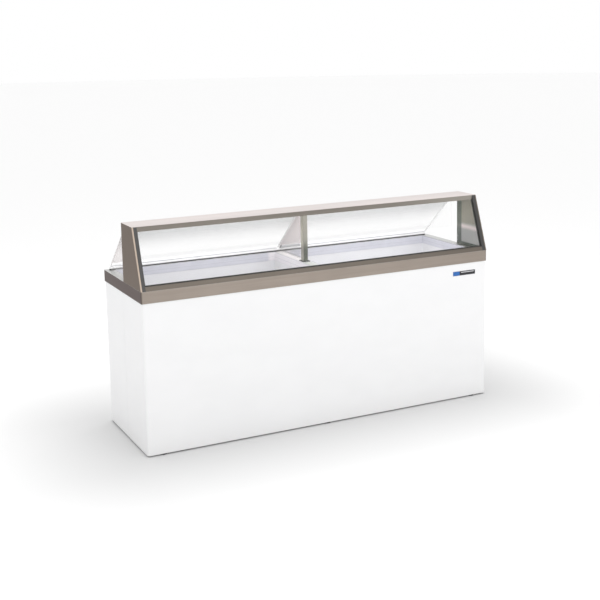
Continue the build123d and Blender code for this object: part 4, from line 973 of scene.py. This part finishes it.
class CABINET_OT_controls(bpy.types.Operator):
    """Thermostat knob with marks round it, rocker switch and cord gland"""

    bl_idname = "cabinet.controls"
    bl_label = "Controls"

    def execute(self, context):
        plate = brushed_steel("control_plate_steel", (0.50, 0.49, 0.47), 0, roughness=0.34)
        dress(plate.material, "control_plate")
        black = moulded_plastic("control_black", (0.026, 0.026, 0.027), 0.38, 900.0)
        dress(black.material, "thermostat", "switch_housing", "cord_gland")
        knob = moulded_plastic("knob_black", (0.024, 0.024, 0.025), 0.34, 900.0)
        low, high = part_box("thermostat_knob")
        centre_x, centre_z = (low.x + high.x) / 2, (low.z + high.z) / 2
        half = 0.0006
        line = within(knob.x, centre_x - half, centre_x + half)
        line = line * knob.z.rise(centre_z, centre_z + 0.001)
        mark = line * knob.y.rise(high.y - 0.0008, high.y - 0.0006)
        knob.set(Base_Color=knob.blend(mark, knob.colour(), (0.85, 0.85, 0.85)))
        dress(knob.material, "thermostat_knob")
        rocker = moulded_plastic("rocker_red", (0.45, 0.03, 0.03), 0.22, 900.0)
        dress(rocker.material, "switch_rocker")
        size = sizes()
        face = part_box("control_plate")[1].y
        gap, tall = 0.0035, 0.0002
        radius = (high.x - low.x) / 2 + gap
        grids = []
        swing, ticks = 300, 11
        for turn in np.radians(90 - np.linspace(0, swing, ticks)):
            direction = np.array([math.cos(turn), math.sin(turn)])
            across = np.array([-direction[1], direction[0]]) * size.tick_width / 2
            start, end = direction * radius, direction * (radius + size.tick_length)
            loop = np.array([start - across, start + across, end + across, end - across])
            grids.append(carried(loop + (centre_x, centre_z), face, face + tall, axis=1))
        ink = moulded_plastic("mark_ink", BLACK_PLASTIC, 0.5)
        piece("dial_marks", grids, ink.material, smooth=False)
        return {"FINISHED"}


class CABINET_OT_stage(bpy.types.Operator):
    """Camera, pale floor with a painted shadow round the cabinet, and soft studio light"""

    bl_idname = "cabinet.stage"
    bl_label = "Studio"

    def execute(self, context):
        studio = context.scene.cabinet_studio
        self.camera(context, studio)
        self.floor()
        self.room(context, studio)
        self.light("key", studio.key, (5.0, 3.4), (1.2, -5.2, 3.6), (0.0, 0.0, 0.5))
        self.light("top", studio.top, (4.5, 3.0), (0.0, 0.6, 4.6), (0.0, 0.0, 0.8))
        low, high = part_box("glass_top_rail")
        at = (0.0, high.y + 0.06, low.z - 0.01)
        fill = self.light("fill", studio.fill, (2.0, 0.10), at, (0.0, high.y + 0.22, low.z - 0.30))
        fill.visible_camera = fill.visible_glossy = False
        context.scene.view_settings.view_transform = "Standard"
        return {"FINISHED"}

    def camera(self, context, studio):
        """Stands the camera so that it looks along yaw and pitch, then rolls it about that line."""
        forward = np.array([
            math.sin(studio.yaw) * math.cos(studio.pitch),
            math.cos(studio.yaw) * math.cos(studio.pitch),
            math.sin(studio.pitch),
        ])
        right = np.cross(forward, (0.0, 0.0, 1.0))
        right /= np.linalg.norm(right)
        up = np.cross(right, forward)
        across = math.cos(studio.roll) * right + math.sin(studio.roll) * up
        upright = math.cos(studio.roll) * up - math.sin(studio.roll) * right
        sensor = 36.0
        data = bpy.data.cameras.new("camera")
        data.lens, data.sensor_width, data.shift_y = studio.lens, sensor, studio.rise
        data.clip_start, data.clip_end = 0.05, 200.0
        camera = bpy.data.objects.new("camera", data)
        context.scene.collection.objects.link(camera)
        stand(camera, across, upright, -forward, studio.camera)
        context.scene.camera = camera

    def floor(self):
        """Round floor under the cabinet: a disc of rings, so wide that its edge isn't seen."""
        turn = np.linspace(0, 2 * math.pi, 64, endpoint=False)
        radius = np.array([0.0, 3.0, 12.0, 60.0])[:, None]
        level = np.zeros((len(radius), len(turn)))
        rings = np.stack([radius * np.cos(turn), radius * np.sin(turn), level], 2)
        mesh = bpy.data.meshes.new("floor")
        mesh.from_pydata(rings.reshape(-1, 3), [], grid_faces(*level.shape, False, True).tolist())
        floor = bpy.data.objects.new("floor", mesh)
        bpy.context.scene.collection.objects.link(floor)
        finish = Finish("floor_paper", colours().floor, Specular_IOR_Level=0.2)
        tooth = finish.noise((160.0, 160.0, 160.0), detail=3.0)
        # Painted shadow: darker next to the cabinet's footprint, near white further away.
        beyond_x = (abs(finish.x) - CAD_BOX[1][0]).limit("MAXIMUM", 0.0)
        beyond_y = (abs(finish.y) - CAD_BOX[1][1]).limit("MAXIMUM", 0.0)
        away = (beyond_x * beyond_x + beyond_y * beyond_y) ** 0.5
        finish.set(
            Base_Color=finish.blend(away.rise(-0.2, 1.2), colours().floor, (0.97, 0.97, 0.97)),
            Roughness=0.80 + tooth * 0.1,
        )
        mesh.materials.append(finish.material)

    def room(self, context, studio):
        """Even pale room light."""
        world = bpy.data.worlds.new("room")
        world.use_nodes = True
        background = world.node_tree.nodes["Background"]
        background.inputs[0].default_value = (1.0, 1.0, 1.0, 1.0)
        background.inputs[1].default_value = studio.sky
        context.scene.world = world

    def light(self, name, power, size, at, towards):
        """Rectangular soft lamp that faces a point."""
        data = bpy.data.lights.new(name, "AREA")
        data.energy, data.shape, data.size, data.size_y = power, "RECTANGLE", size[0], size[1]
        lamp = bpy.data.objects.new(name, data)
        bpy.context.scene.collection.objects.link(lamp)
        back = np.array(at) - np.array(towards)
        back /= np.linalg.norm(back)
        across = np.cross((0.0, 0.0, 1.0), back)
        across /= np.linalg.norm(across)
        stand(lamp, across, np.cross(back, across), back, at)
        return lamp


OPERATORS = (
    CABINET_OT_stage, CABINET_OT_rim, CABINET_OT_guard, CABINET_OT_canopy, CABINET_OT_case,
    CABINET_OT_name_plate, CABINET_OT_wells, CABINET_OT_well_beads, CABINET_OT_glazing,
    CABINET_OT_lids, CABINET_OT_lid_seal, CABINET_OT_machine, CABINET_OT_condenser,
    CABINET_OT_controls,
)


class CABINET_PT_panel(bpy.types.Panel):
    """Lists the cabinet's operators"""

    bl_label = "Dipping cabinet"
    bl_idname = "CABINET_PT_panel"
    bl_space_type = "VIEW_3D"
    bl_region_type = "UI"
    bl_category = "Cabinet"

    def draw(self, context):
        for operator in OPERATORS:
            self.layout.operator(operator.bl_idname)


GROUPS = {
    "cabinet_colours": CabinetColours,
    "cabinet_sizes": CabinetSizes,
    "cabinet_studio": CabinetStudio,
}
CLASSES = (*GROUPS.values(), *OPERATORS, CABINET_PT_panel)


def register():
    for cls in CLASSES:
        bpy.utils.register_class(cls)
    for name, group in GROUPS.items():
        setattr(bpy.types.Scene, name, bpy.props.PointerProperty(type=group))


def unregister():
    for name in GROUPS:
        delattr(bpy.types.Scene, name)
    for cls in reversed(CLASSES):
        bpy.utils.unregister_class(cls)


def main():
    """Makes everything."""
    register()
    for operator in OPERATORS:
        group, call = operator.bl_idname.split(".")
        getattr(getattr(bpy.ops, group), call)()


if __name__ == "__main__":
    main()
